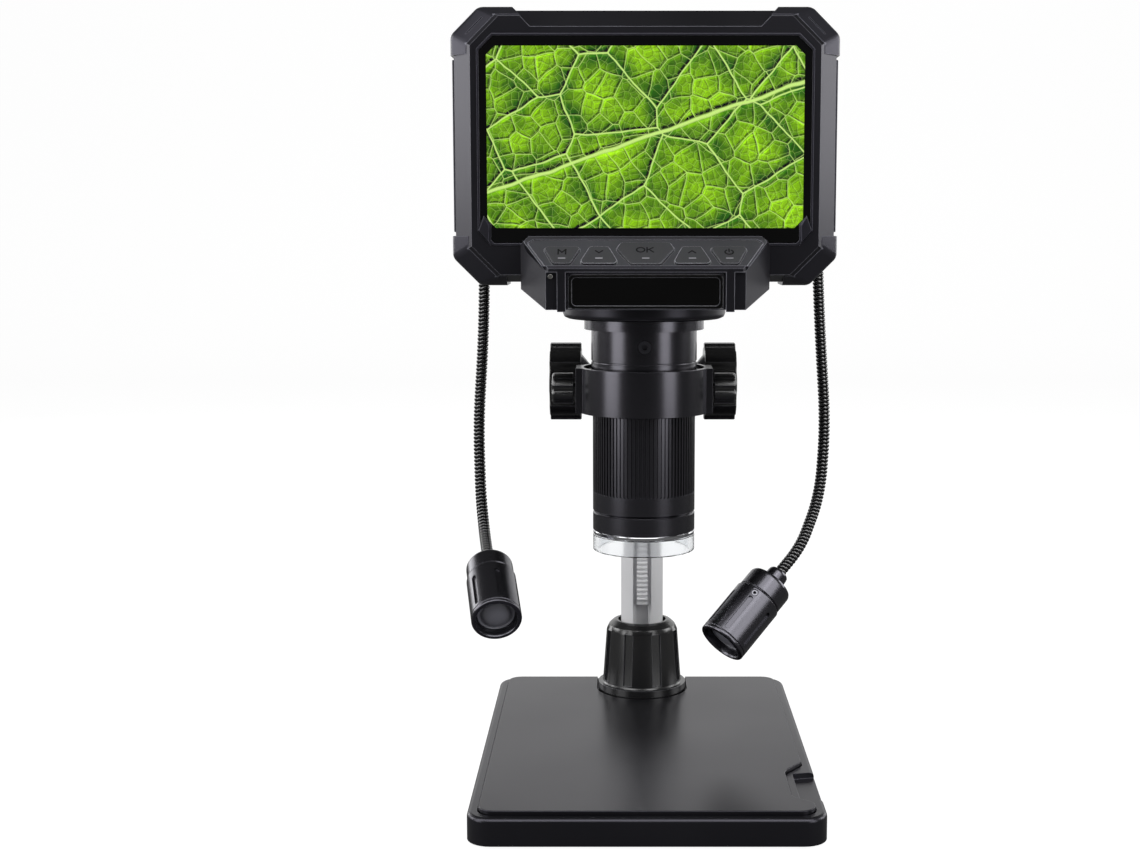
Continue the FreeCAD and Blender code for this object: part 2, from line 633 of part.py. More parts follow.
def make_focus_ring():
    low = FOCUS_RING_BOTTOM
    body = ring_tool(INNER_TUBE_RADIUS + RUNNING_GAP, FOCUS_RING_RADIUS, low, SLEEVE_TOP)
    floor = FOCUS_RING_RADIUS - RIB_DEPTH
    half_gap = RIB_GAP / 2
    groove = box(floor, FOCUS_RING_RADIUS + 1.0, -half_gap, half_gap, RIB_BOTTOM, SLEEVE_TOP + 1.0)
    tools = []
    for i in range(RIB_COUNT):
        tool = groove.copy()
        tool.rotate(Vector(0, 0, 0), Vector(0, 0, 1), (i + 0.5) * 360.0 / RIB_COUNT)
        tool.translate(Vector(0, BARREL_Y, 0))
        tools.append(tool)
    return body.cut(Part.makeCompound(tools))


def make_nose_ring():
    outer = FOCUS_RING_RADIUS
    profile = [(INNER_TUBE_BORE, NOSE_TOP), (outer - 0.3, NOSE_TOP), (outer, NOSE_TOP - 0.3),
               (outer, TRIM_TOP), (INNER_TUBE_BORE, TRIM_TOP)]
    return lathe(profile, 0, BARREL_Y)


def make_trim_ring():
    outer = FOCUS_RING_RADIUS
    profile = [(13.4, TRIM_TOP), (outer, TRIM_TOP), (outer - 0.1, GUARD_TOP + 0.4), (outer - 0.5, GUARD_TOP),
               (13.4, GUARD_TOP)]
    return lathe(profile, 0, BARREL_Y)


def make_guard_ring():
    return ring_tool(GUARD_RADIUS - 1.7, GUARD_RADIUS, GUARD_BOTTOM, GUARD_TOP)


def make_led_ring():
    board = ring_tool(7.0, 13.3, GUARD_TOP + 0.1, GUARD_TOP + 1.3)
    lights = []
    for i in range(LED_COUNT):
        angle = 2 * math.pi * i / LED_COUNT
        x = LED_CIRCLE_RADIUS * math.cos(angle)
        y = BARREL_Y + LED_CIRCLE_RADIUS * math.sin(angle)
        lights.append(box(x - 1.4, x + 1.4, y - 1.4, y + 1.4, GUARD_TOP - 0.7, GUARD_TOP + 0.1))
    return fuse([board] + lights)


def make_lens_cell():
    outer = INNER_TUBE_BORE - RUNNING_GAP
    profile = [(6.0, 86.0), (outer, 86.0), (outer, 100.0), (9.0, 100.0), (9.0, 90.0), (6.0, 88.5)]
    return lathe(profile, 0, BARREL_Y)


def make_objective_lens():
    profile = [(0, 91.0), (4.0, 90.6), (9.0, 90.0), (9.0, 94.0), (5.0, 95.4), (0, 95.8)]
    return lathe(profile, 0, BARREL_Y)


def make_sensor_board():
    board = post(12.4, 0, BARREL_Y, 128.0, 129.2)
    chip = box(-4.5, 4.5, BARREL_Y - 3.5, BARREL_Y + 3.5, 126.4, 128.0)
    return fuse([board, chip])


# Head

def shell_body(proud):
    wide = SHELL_HALF_WIDTH + proud
    high = SHELL_HALF_HEIGHT + proud
    outer = octagon(wide, high, SHELL_CUT + 0.4 * proud, HEAD_CENTRE_Z)
    face = octagon(FACE_HALF_WIDTH, FACE_HALF_HEIGHT, FACE_CUT, HEAD_CENTRE_Z)
    inner = octagon(wide - REAR_INSET, high - REAR_INSET, SHELL_CUT, HEAD_CENTRE_Z)
    front = frustum(face, FACE_Y, outer, BEVEL_BACK_Y)
    middle = panel(outer, BEVEL_BACK_Y, REAR_BEVEL_Y)
    rear = frustum(outer, REAR_BEVEL_Y, inner, REAR_Y)
    return front.fuse(middle).fuse(rear).removeSplitter()


def shell_cavity():
    outline = octagon(SHELL_HALF_WIDTH - 6.4, SHELL_HALF_HEIGHT - 5.2, 6.0, HEAD_CENTRE_Z)
    return panel(outline, FACE_Y + WALL, REAR_Y - WALL)


def glass_outline(gap):
    half_height = (GLASS_TOP - GLASS_BOTTOM) / 2 + gap
    return octagon(GLASS_HALF_WIDTH + gap, half_height, GLASS_CUT, (GLASS_TOP + GLASS_BOTTOM) / 2)


def top_recess():
    # the long sloping recess along the top, between the slanted ends of the bumpers
    top = HEAD_CENTRE_Z + SHELL_HALF_HEIGHT
    low = RECESS_BOTTOM
    side = [(FACE_Y - 2.0, low), (FACE_Y + 0.4, low), (FACE_Y + 1.2, low + 0.7),
            (BEVEL_BACK_Y + 1.2, top + 0.1), (FACE_Y - 2.0, top + 0.1)]
    wedge = closed_face([Vector(-60, y, z) for y, z in side]).extrude(Vector(120, 0, 0))
    outer, inner = RECESS_HALF_WIDTHS
    ends = [(-outer, top + 2.0), (-inner, low - 0.1), (inner, low - 0.1), (outer, top + 2.0)]
    return wedge.common(panel(ends, FACE_Y - 3.0, SPLIT_Y))


def screen_claws():
    outline = [(-48.6, 174.3), (-50.6, 169.6), (-46.4, 164.9), (-46.2, 171.6)]
    tip = [(-48.5, 173.6), (-50.0, 169.7), (-47.2, 166.6), (-47.0, 171.2)]
    left = frustum(outline, FACE_Y, tip, FACE_Y - 0.8)
    return [left, mirror_x(left)]


def make_front_bezel():
    body = shell_body(0).common(box(-80, 80, FACE_Y - 1.0, SPLIT_Y, 100, 260))
    glass_seat = panel(glass_outline(0.1), FACE_Y - 1.0, FACE_Y + GLASS_THICKNESS)
    window = panel(octagon(48.0, 27.6, 0.1, LCD_CENTRE_Z), FACE_Y - 1.0, SPLIT_Y + 1.0)
    body = cut(body, [shell_cavity(), glass_seat, window, top_recess()])
    return fuse([body] + screen_claws())


def screw_places():
    return [(x, HEAD_CENTRE_Z + z) for x in (-46.0, 46.0) for z in (-29.5, 29.5)]


def make_rear_shell():
    body = shell_body(0).common(box(-80, 80, SPLIT_Y, 80, 100, 260))
    hump = post(COLLAR_RADIUS, 0, BARREL_Y, COLLAR_TOP, HUMP_TOP)
    top_rim = [edge for edge in hump.Edges if edge.BoundBox.ZMin > HUMP_TOP - 0.1]
    hump = hump.makeChamfer(HUMP_CHAMFER, top_rim)
    hump = hump.common(box(-60, 60, SPLIT_Y, 80, 100, 260))
    body = body.fuse(hump).removeSplitter()
    hump_room = post(COLLAR_RADIUS - WALL, 0, BARREL_Y, COLLAR_TOP - 1.0, HUMP_TOP - HUMP_CHAMFER - WALL)
    hump_room = hump_room.common(box(-60, 60, SPLIT_Y - 1.0, 80, 100, 260))
    tools = [shell_cavity(), hump_room]
    for x, z in screw_places():
        tools.append(rod(2.3, Vector(x, REAR_Y - 1.4, z), Vector(0, 1, 0), 5.0))
    for i in range(VENT_COUNT):
        z = HEAD_CENTRE_Z + 22.0 - VENT_PITCH * i
        low, high = z - VENT_HALF_HEIGHT, z + VENT_HALF_HEIGHT
        tools.append(box(-16.0, 16.0, REAR_Y - 1.2, REAR_Y + 1.0, low, high))
    return cut(body, tools)


def corner_slot(up):
    # a thin slot along the middle of the left corner's sloping facet; up is 1 at the top, -1 at the bottom
    face_middle = Vector(FACE_CUT / 2 - FACE_HALF_WIDTH, FACE_Y, up * (FACE_HALF_HEIGHT - FACE_CUT / 2))
    cut_size = SHELL_CUT + 0.4 * BUMPER_PROUD
    outer_x = SHELL_HALF_WIDTH + BUMPER_PROUD - cut_size / 2
    outer_z = SHELL_HALF_HEIGHT + BUMPER_PROUD - cut_size / 2
    outer_middle = Vector(-outer_x, BEVEL_BACK_Y, up * outer_z)
    along = Vector(1, 0, up).normalize()
    across = (outer_middle - face_middle).normalize()
    normal = along.cross(across) * up
    slot = Part.makeBox(7.0, 0.5, 1.2, Vector(-3.5, -0.25, -0.35))
    slot.Placement = FreeCAD.Placement(Vector(0, 0, 0), FreeCAD.Rotation(along * up, across, normal))
    slot.translate((face_middle + outer_middle) * 0.5 + Vector(0, 0, HEAD_CENTRE_Z))
    return slot


def make_corner_bumpers():
    skin = shell_body(BUMPER_PROUD).cut(shell_body(0))
    skin = skin.common(box(-80, 80, FACE_Y + 1.2, REAR_BEVEL_Y - 0.5, 100, 260))
    outer, inner = RECESS_HALF_WIDTHS
    top_outline = [(-70, 222.0), (-30, 222.0), (-30, 229.0), (-inner, RECESS_BOTTOM), (-outer, 238.0),
                   (-outer, 250.0), (-70, 250.0)]
    low_outline = [(-70, 140.0), (-42.0, 140.0), (-42.0, 168.0), (-70, 168.0)]
    top = panel(top_outline, -20, 40)
    low = panel(low_outline, -20, 40)
    left_top = skin.common(top).cut(corner_slot(1))
    left_low = skin.common(low).cut(corner_slot(-1))
    return Part.makeCompound([left_top, left_low, mirror_x(left_top), mirror_x(left_low)])


def make_side_grips():
    start = SHELL_HALF_WIDTH
    left = box(-start - 0.7, -start, BEVEL_BACK_Y + 1.2, REAR_BEVEL_Y - 2.0, 169.2, 220.8)
    outer_rim = [edge for edge in left.Edges if max(v.X for v in edge.Vertexes) < -start - 0.6]
    left = left.makeChamfer(0.5, outer_rim)
    usb_port = box(-start - 2.0, -start + 0.1, 2.0, 5.2, 196.0, 205.0)
    card_slot = box(-start - 2.0, -start + 0.1, 2.8, 4.4, 180.0, 192.0)
    return Part.makeCompound([cut(left, [usb_port, card_slot]), mirror_x(left)])


def make_screen_glass():
    return panel(glass_outline(0), FACE_Y, FACE_Y + GLASS_THICKNESS - FIT)


def make_lcd_panel():
    half_width = LCD_WIDTH / 2 + 0.3
    low = LCD_CENTRE_Z - LCD_HEIGHT / 2 - 0.5
    high = LCD_CENTRE_Z + LCD_HEIGHT / 2 + 0.5
    front = FACE_Y + GLASS_THICKNESS + FIT
    return box(-half_width, half_width, front, front + 2.98, low, high)


def make_main_board():
    board = box(-46.0, 46.0, 2.0, 3.6, 176.0, 224.0)
    processor = box(-10.0, 6.0, 3.6, 5.0, 206.0, 220.0)
    memory = box(14.0, 24.0, 3.6, 4.8, 210.0, 219.0)
    charger = box(-30.0, -20.0, 3.6, 4.6, 208.0, 218.0)
    return fuse([board, processor, memory, charger])


def make_battery():
    pouch = box(-29.0, 29.0, 5.6, 11.6, 166.0, 203.0)
    upright = [edge for edge in pouch.Edges if abs(edge.Vertexes[0].Z - edge.Vertexes[1].Z) > 1.0]
    return pouch.makeFillet(2.0, upright)


def make_neck_collar():
    profile = [(13.5, FLANGE_TOP), (COLLAR_RADIUS - 1.6, FLANGE_TOP), (COLLAR_RADIUS, FLANGE_TOP + 1.6),
               (COLLAR_RADIUS, COLLAR_TOP), (13.5, COLLAR_TOP)]
    return lathe(profile, 0, BARREL_Y)


# Control chin

def chin_placement():
    start = Vector(0, SLOPE_START_Y, SLOPE_START_Z)
    return FreeCAD.Placement(start, FreeCAD.Rotation(Vector(1, 0, 0), SLOPE_ANGLE))


def slope_prism(points, h0, h1):
    # points are (x, distance down the slope), h is height above the sloping face
    solid = plate([(x, -down) for x, down in points], h0, h1)
    solid.Placement = chin_placement()
    return solid


def control_outline(inset):
    top = COVER_HALF_WIDTH - 1.0 - inset
    low = COVER_FRONT_HALF_WIDTH - 0.7 - inset
    start = 0.7 + inset
    end = SLOPE_LENGTH - 0.2 - inset
    return [(-top, 2.8), (1.8 - top, start), (top - 1.8, start), (top, 2.8), (low, end), (-low, end)]


def chin_cover():
    # the plate round the buttons stands a little past the side facets and draws in below
    rims = []
    upper = (COVER_HALF_WIDTH, COVER_FRONT_HALF_WIDTH, SLOPE_LENGTH, 0)
    lower = (COVER_HALF_WIDTH + 0.2, CHIN_FRONT_HALF_WIDTH + 0.2, SLOPE_LENGTH + 0.7, -COVER_DEEP)
    for top, low, end, height in (upper, lower):
        outline = [(-top, 2.4), (2.0 - top, 0), (top - 2.0, 0), (top, 2.4), (low, end), (-low, end)]
        rims.append(Part.makePolygon([Vector(x, -down, height) for x, down in outline + outline[:1]]))
    cover = Part.makeLoft(rims, True, True)
    cover.Placement = chin_placement()
    return cover.common(box(-60, 60, -60, FACE_Y, 100, 200))


def make_control_chin():
    side = [(FACE_Y, 168.0), (SLOPE_START_Y, SLOPE_START_Z), (-23.5, 159.5), (CHIN_FRONT_Y, 158.7),
            (CHIN_FRONT_Y, CHIN_BOTTOM), (FACE_Y, 152.6)]
    body = closed_face([Vector(-60, y, z) for y, z in side]).extrude(Vector(120, 0, 0))
    w, f = CHIN_HALF_WIDTH, CHIN_FRONT_HALF_WIDTH
    plan = [(-w, 0), (-w, -10.4), (-f, CHIN_FRONT_Y), (f, CHIN_FRONT_Y), (w, -10.4), (w, 0)]
    front = [(-w, 140), (w, 140), (w, 165.6), (w - 2.8, 168.4), (2.8 - w, 168.4), (-w, 165.6)]
    body = body.common(plate(plan, 130, 190)).common(panel(front, -40, 0))
    body = fuse([body, chin_cover()])
    collar = post(COLLAR_RADIUS + FIT, 0, BARREL_Y, 130, COLLAR_TOP)
    seat = slope_prism(control_outline(0), -1.2, 3.0)
    button_room = slope_prism([(-32.0, 2.2), (32.0, 2.2), (28.6, 14.8), (-28.6, 14.8)], -3.6, -1.0)
    window_seat = box(-23.6, 23.6, CHIN_FRONT_Y - 1.0, CHIN_FRONT_Y + 1.3, CHIN_BOTTOM - 1.0, SEAT_TOP)
    pocket_half = WINDOW_HALF_WIDTH + 0.05
    window_pocket = box(-pocket_half, pocket_half, CHIN_FRONT_Y, CHIN_FRONT_Y + WINDOW_BACK,
                        WINDOW_BOTTOM - 0.05, WINDOW_TOP + 0.05)
    channel = box(26.1, 30.0, CHIN_FRONT_Y - 1.0, CHIN_FRONT_Y + 1.2, 140, SEAT_TOP)
    return cut(body, [collar, seat, button_room, window_seat, window_pocket, channel, mirror_x(channel)])


def button_outlines():
    side_wide = [(-4.7, 4.9), (4.7, 4.9), (5.4, 6.4), (2.6, 14.2), (-2.6, 14.2), (-5.4, 6.4)]
    side_narrow = [(-2.8, 5.1), (2.8, 5.1), (5.4, 12.8), (4.9, 14.3), (-4.9, 14.3), (-5.4, 12.8)]
    middle = [(-8.7, 6.2), (-7.3, 2.6), (7.3, 2.6), (8.7, 6.2), (4.5, 14.5), (-4.5, 14.5)]
    return {
        "menu_button": (side_wide, -24.8),
        "down_button": (side_narrow, -13.8),
        "ok_button": (middle, 0.0),
        "up_button": (side_narrow, 13.8),
        "power_button": (side_wide, 24.8),
    }


def grown_prism(points, shift, grow, h0, h1):
    wire = Part.makePolygon([Vector(x + shift, -down, h0) for x, down in points + points[:1]])
    if grow:
        wire = wire.makeOffset2D(grow)
    solid = Part.Face(wire).extrude(Vector(0, 0, h1 - h0))
    solid.Placement = chin_placement()
    return solid


def make_control_panel():
    body = slope_prism(control_outline(0.15), -1.2, -0.2)
    tools = []
    for points, shift in button_outlines().values():
        tools.append(grown_prism(points, shift, BUTTON_GAP, -2.0, 2.0))
    return cut(body, tools)


def frustum_button(points, shift):
    wires = []
    for inset, height in ((0, BUTTON_PROUD - 0.4), (-0.4, BUTTON_PROUD)):
        wire = Part.makePolygon([Vector(x + shift, -down, height) for x, down in points + points[:1]])
        if inset:
            wire = wire.makeOffset2D(inset)
        wires.append(wire)
    solid = Part.makeLoft(wires, True, True)
    solid.Placement = chin_placement()
    return solid


def make_button(points, shift):
    cap = grown_prism(points, shift, 0, -BUTTON_DEEP, BUTTON_PROUD - 0.4)
    crown = frustum_button(points, shift)
    return fuse([cap, crown])


def make_keypad():
    sheet = slope_prism([(-30.6, 3.6), (30.6, 3.6), (27.6, 14.2), (-27.6, 14.2)], -3.4, -2.6)
    domes = []
    for points, shift in button_outlines().values():
        dome = Part.makeCylinder(1.6, 0.5, Vector(shift, -9.0, -2.6))
        dome.Placement = chin_placement().multiply(dome.Placement)
        domes.append(dome)
    return fuse([sheet] + domes)


def make_chin_window():
    height = WINDOW_TOP - WINDOW_BOTTOM
    front = CHIN_FRONT_Y + 0.5
    back = CHIN_FRONT_Y + WINDOW_BACK
    return rounded_panel(2 * WINDOW_HALF_WIDTH, height, 1.5, front, back, (WINDOW_TOP + WINDOW_BOTTOM) / 2)


# Lamps

def arm_path(points):
    # straight runs joined by tangent arcs, each taking the same share of the shorter run
    edges = []
    here = points[0]
    for i in range(1, len(points) - 1):
        before = points[i - 1] - points[i]
        after = points[i + 1] - points[i]
        shorter = min(before.Length, after.Length)
        before.normalize()
        after.normalize()
        reach = ARM_BEND_SHARE * shorter
        start = points[i] + before * reach
        end = points[i] + after * reach
        half = before.getAngle(after) / 2
        radius = reach * math.tan(half)
        middle = before + after
        middle.normalize()
        mid = points[i] + middle * (reach / math.cos(half) - radius)
        edges.append(Part.LineSegment(here, start).toShape())
        edges.append(Part.Arc(start, mid, end).toShape())
        here = end
    edges.append(Part.LineSegment(here, points[-1]).toShape())
    return Part.Wire(edges)


def lamp_pivot(back, aim):
    return back - aim.normalize() * NECK_BACK


def left_arm_points():
    pivot = lamp_pivot(Vector(LEFT_BACK), Vector(LEFT_AIM))
    aim = Vector(LEFT_AIM).normalize()
    return [Vector(-ARM_SOCKET_X, COLUMN_Y, YOKE_Z), Vector(-53.6, COLUMN_Y, YOKE_Z),
            Vector(-53.9, 52.5, 138.0), Vector(-55.9, 49.0, 104.0), Vector(-55.0, 44.5, 80.0),
            pivot - aim * 16.0, pivot]


def right_arm_points():
    pivot = lamp_pivot(Vector(RIGHT_BACK), Vector(RIGHT_AIM))
    aim = Vector(RIGHT_AIM).normalize()
    return [Vector(ARM_SOCKET_X, COLUMN_Y, YOKE_Z), Vector(58.4, COLUMN_Y, YOKE_Z),
            Vector(60.4, 52.5, 138.0), Vector(62.5, 48.0, 104.0), Vector(59.6, 38.5, 81.0),
            pivot - aim * 14.0, pivot]


def make_arm(points):
    path = arm_path(points)
    start = points[0]
    direction = points[1] - points[0]
    ring = Part.Wire(Part.makeCircle(ARM_RADIUS, start, direction))
    tube = path.makePipeShell([ring], True, False)
    ball = Part.makeSphere(NECK_BALL_RADIUS, points[-1])
    return fuse([tube, ball])


def lamp_placement(back, aim):
    return FreeCAD.Placement(back, FreeCAD.Rotation(Vector(0, 0, 1), aim))


def local_lathe(profile):
    face = closed_face([Vector(r, 0, s) for r, s in profile])
    return face.revolve(Vector(0, 0, 0), Vector(0, 0, 1), 360)


def make_lamp_cap():
    # the neck holds the ball of the arm in a round seat with a flared mouth
    end = LAMP_CAP_LENGTH
    profile = [(0, 0), (0, -4.5), (2.7, -4.5), (3.3, -3.7), (3.5, 0), (7.1, 0), (7.6, 0.5), (7.6, end),
               (6.6, end), (6.6, 3.0), (0, 3.0)]
    body = local_lathe(profile)
    seat = Part.makeSphere(NECK_BALL_RADIUS + RUNNING_GAP, Vector(0, 0, -NECK_BACK))
    mouth = Part.makeCone(2.75, 1.85, 2.4, Vector(0, 0, -5.0), Vector(0, 0, 1))
    return cut(body, [seat, mouth])


def make_lamp_body():
    start, end = LAMP_CAP_LENGTH, LAMP_LENGTH
    outer = LAMP_RADIUS
    profile = [(7.6, start), (outer, start + 0.4), (outer, end - 1.6), (outer - 0.2, end - 1.4),
               (outer, end - 1.2), (outer, end - 0.5), (outer - 0.6, end), (6.8, end), (6.4, end - 0.8),
               (6.4, end - 2.6), (LENS_RADIUS, end - 2.6), (LENS_RADIUS, start)]
    body = local_lathe(profile)
    half_slot = LAMP_SLOT_WIDTH / 2
    tools = []
    for i in range(LAMP_SLOT_COUNT):
        floor = outer - LAMP_SLOT_DEPTH
        bar = box(floor, outer + 1.0, -half_slot, half_slot, start + 4.6, end - 3.4)
        rear_end = rod(half_slot, Vector(floor, 0, start + 4.6), Vector(1, 0, 0), 2.0)
        front_end = rod(half_slot, Vector(floor, 0, end - 3.4), Vector(1, 0, 0), 2.0)
        slot = fuse([bar, rear_end, front_end])
        slot.rotate(Vector(0, 0, 0), Vector(0, 0, 1), i * 360.0 / LAMP_SLOT_COUNT)
        tools.append(slot)
    return cut(body, tools)


def make_lamp_lens():
    end = LAMP_LENGTH
    profile = [(0, end - 4.4), (LENS_RADIUS, end - 4.4), (LENS_RADIUS, end - 2.8), (5.0, end - 2.8),
               (3.4, end - 2.1), (0, end - 1.7)]
    return local_lathe(profile)


def make_lamp_led():
    board = local_lathe([(0, 12.0), (5.9, 12.0), (5.9, 13.4), (0, 13.4)])
    chip = box(-1.75, 1.75, -1.75, 1.75, 13.4, 15.2)
    return fuse([board, chip])


def make_lamp(back, aim):
    parts = {
        "cap": make_lamp_cap(),
        "body": make_lamp_body(),
        "lens": make_lamp_lens(),
        "led": make_lamp_led(),
    }
    for shape in parts.values():
        shape.Placement = lamp_placement(back, aim)
    return parts


def all_parts():
    parts = {
        "base_plate": make_base_plate(),
        "base_pad": make_base_pad(),
        "stage_plate": make_stage_plate(),
        "column_boss": make_column_boss(),
        "boss_screw": make_boss_screw(),
        "column": make_column(),
        "rack": make_rack(),
        "lamp_yoke": make_lamp_yoke(),
        "lamp_inlet": make_lamp_inlet(),
        "focus_block": make_focus_block(),
        "shaft_bushes": make_shaft_bushes(),
        "tension_screw": make_tension_screw(),
        "ring_holder": make_ring_holder(),
        "holder_screws": make_holder_screws(),
        "ring_liner": make_ring_liner(),
        "thumb_tip_right": make_thumb_tip(),
        "thumb_tip_left": mirror_x(make_thumb_tip()),
        "thumbscrew_right": make_thumbscrew(),
        "thumbscrew_left": mirror_x(make_thumbscrew()),
        "pinion_shaft": make_pinion_shaft(),
        "focus_knob_right": make_focus_knob(),
        "focus_knob_left": mirror_x(make_focus_knob()),
        "barrel_tube": make_barrel_tube(),
        "barrel_screw": make_barrel_screw(),
        "focus_ring": make_focus_ring(),
        "nose_ring": make_nose_ring(),
        "trim_ring": make_trim_ring(),
        "guard_ring": make_guard_ring(),
        "led_ring_board": make_led_ring(),
        "lens_cell": make_lens_cell(),
        "objective_lens": make_objective_lens(),
        "sensor_board": make_sensor_board(),
        "front_bezel": make_front_bezel(),
        "rear_shell": make_rear_shell(),
        "corner_bumpers": make_corner_bumpers(),
        "side_grips": make_side_grips(),
        "screen_glass": make_screen_glass(),
        "lcd_panel": make_lcd_panel(),
        "main_board": make_main_board(),
        "battery": make_battery(),
        "neck_collar": make_neck_collar(),
        "control_chin": make_control_chin(),
        "control_panel": make_control_panel(),
        "keypad": make_keypad(),
        "chin_window": make_chin_window(),
        "lamp_arm_left": make_arm(left_arm_points()),
        "lamp_arm_right": make_arm(right_arm_points()),
    }
    for name, (points, shift) in button_outlines().items():
        parts[name] = make_button(points, shift)
    for side, back, aim in (("left", LEFT_BACK, LEFT_AIM), ("right", RIGHT_BACK, RIGHT_AIM)):
        for piece, shape in make_lamp(back, aim).items():
            parts["lamp_" + piece + "_" + side] = shape
    return parts


os.makedirs("parts", exist_ok=True)
for name, shape in all_parts().items():
    if not shape.isValid():
        raise ValueError("invalid shape: " + name)
    shape.exportStep("parts/" + name + ".step")
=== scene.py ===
import json
import math

import bmesh
import bpy
from bpy.props import FloatProperty, FloatVectorProperty, IntProperty, PointerProperty
from mathutils import Matrix, Vector

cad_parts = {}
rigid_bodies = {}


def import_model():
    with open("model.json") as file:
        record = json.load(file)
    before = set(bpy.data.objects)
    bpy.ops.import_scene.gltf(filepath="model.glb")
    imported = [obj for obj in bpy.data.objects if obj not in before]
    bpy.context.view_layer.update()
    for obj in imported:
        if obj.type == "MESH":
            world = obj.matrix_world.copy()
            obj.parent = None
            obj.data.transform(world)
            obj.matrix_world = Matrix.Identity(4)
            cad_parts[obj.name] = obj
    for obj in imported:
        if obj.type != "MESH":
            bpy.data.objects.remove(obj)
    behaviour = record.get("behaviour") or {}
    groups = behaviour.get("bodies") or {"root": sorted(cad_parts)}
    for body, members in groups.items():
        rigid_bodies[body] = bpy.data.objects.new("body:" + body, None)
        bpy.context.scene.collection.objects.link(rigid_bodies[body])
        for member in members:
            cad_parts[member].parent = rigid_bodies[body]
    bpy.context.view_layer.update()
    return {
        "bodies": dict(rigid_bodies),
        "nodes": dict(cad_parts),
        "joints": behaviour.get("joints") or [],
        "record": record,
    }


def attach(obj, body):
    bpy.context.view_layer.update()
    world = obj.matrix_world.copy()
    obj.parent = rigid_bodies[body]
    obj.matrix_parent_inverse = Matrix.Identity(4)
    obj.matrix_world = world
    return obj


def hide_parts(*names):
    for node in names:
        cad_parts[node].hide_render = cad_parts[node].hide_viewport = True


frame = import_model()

bl_info = {
    "name": "LCD microscope",
    "version": (1, 0, 0),
    "blender": (4, 5, 0),
    "location": "3D View > Sidebar > Microscope",
    "description": "Shapes and finishes of a desktop LCD microscope on a rack-and-pinion stand",
    "category": "Object",
}

# Shapes are built in millimetres, and scaled to metres when a piece is finished
MM = 0.001
X, Y, Z = 0, 1, 2


def linear(hex_colour):
    # turns an sRGB hex value to linear colour
    channels = [int(hex_colour[i:i + 2], 16) / 255 for i in (1, 3, 5)]
    return tuple(c / 12.92 if c <= 0.04045 else ((c + 0.055) / 1.055) ** 2.4 for c in channels) + (1.0,)


# Sizes in millimetres, with Z up from the floor and the front towards -Y

# Head
HEAD_CENTRE_Z = 194.7
FACE_Y = -9.4
BEVEL_BACK_Y = -3.2
SPLIT_Y = 4.0
REAR_BEVEL_Y = 12.0
REAR_Y = 18.0
FACE_HALF = (52.3, 38.3)
FACE_CUT = 8.6
SHELL_HALF = (57.6, 40.6)
SHELL_CUT = 8.0
BUMPER_PROUD = 1.1
REAR_INSET = 5.0
CAVITY_HALF = (51.2, 35.4)
CAVITY_CUT = 6.0
WALL = 2.2
GLASS_HALF = (49.6, 30.55)
GLASS_CENTRE_Z = 196.55
GLASS_CUT = 4.2
GLASS_THICKNESS = 1.0
PICTURE_HALF = (47.52, 26.93)
PICTURE_CENTRE_Z = 197.4
PICTURE_CUT = 2.6
VENT_COUNT = 5
VENT_PITCH = 3.4
VENT_TOP = 22.0
VENT_HALF = (16.0, 0.7)
SHELL_SCREW_HALF = (46.0, 29.5)
SHELL_SCREW_SUNK = 1.4
WINDOW_HALF = (48.0, 27.6)
GLASS_FIT = 0.1
RECESS_FLOOR_Z = 229.9
RECESS_HALF_WIDTHS = (34.3, 41.4)

# Barrel and its collar
BARREL_Y = 13.3
COLLAR_RADIUS = 25.7
COLLAR_BOTTOM = 142.2
COLLAR_TOP = 153.0
HUMP_TOP = 186.0
TUBE_RADIUS = 16.75
TUBE_BORE = 12.6
FLANGE_RADIUS = 18.95
FLANGE_BOTTOM = 138.7
FLANGE_TOP = 142.2
INNER_TUBE_RADIUS = 14.0
SLEEVE_TOP = 112.1
FOCUS_RING_RADIUS = 16.3
FOCUS_RING_BOTTOM = 80.6
RIB_BOTTOM = 86.7
NOSE_TOP = 80.4
TRIM_TOP = 74.4
GUARD_TOP = 73.0
GUARD_BOTTOM = 67.9
GUARD_RADIUS = 16.25
SET_SCREW_Z = 133.9
WITNESS_LINE_Z = 128.5
NOSE_RADIUS = 16.3
NOSE_BORE = 12.6
TRIM_BORE = 13.4
GUARD_WALL = 1.7

# Column and carriage
COLUMN_Y = 55.3
COLUMN_RADIUS = 7.25
COLUMN_TOP = 176.0
GROOVE_WIDTH = 6.25
GROOVE_DEPTH = 3.35
PINION_Y = 44.6
PINION_Z = 119.0
SHAFT_RADIUS = 2.5
BLOCK_HALF_WIDTH = 13.0
BLOCK_FRONT_Y = 36.0
BLOCK_BACK_Y = 67.0
BLOCK_BOTTOM = 103.0
BLOCK_TOP = 135.0
RING_RADIUS = 20.5
RING_BOTTOM = 112.3
RING_TOP = 126.6
LINER_RADIUS = 19.1
LINER_BORE = 16.85
THUMB_Z = 119.7
YOKE_Z = 186.0
YOKE_RADIUS = 10.0
YOKE_HALF_WIDTH = 16.5
YOKE_ARM_RADIUS = 4.2
ARM_SEAT_X = 10.9
BUSH_RADIUS = 4.22
BUSH_DEPTH = 5.0
PINION_ROOM = (2.8, 5.3)
SCREW_WAY_RADIUS = 3.05
TENSION_PAD_HALF = 6.0
LUG_X = 19.8
LUG_HALF = (1.8, 6.6)
HOLDER_ARM_HALF = 11.0
HOLDER_SCREW_X = 6.0
LINER_SPLIT_HALF = 1.0

# Knobs and thumbscrews, with distances along their own axis
KNOB_RADIUS = 13.0
KNOB_LOBES = 8
KNOB_FACE = 20.6
KNOB_LENGTH = 10.4
KNOB_DISH_RADIUS = 8.2
THUMB_RADIUS = 5.0
THUMB_LOBES = 6
THUMB_FACE = 22.4
THUMB_LENGTH = 6.8
THUMB_SHANK_RADIUS = 2.0

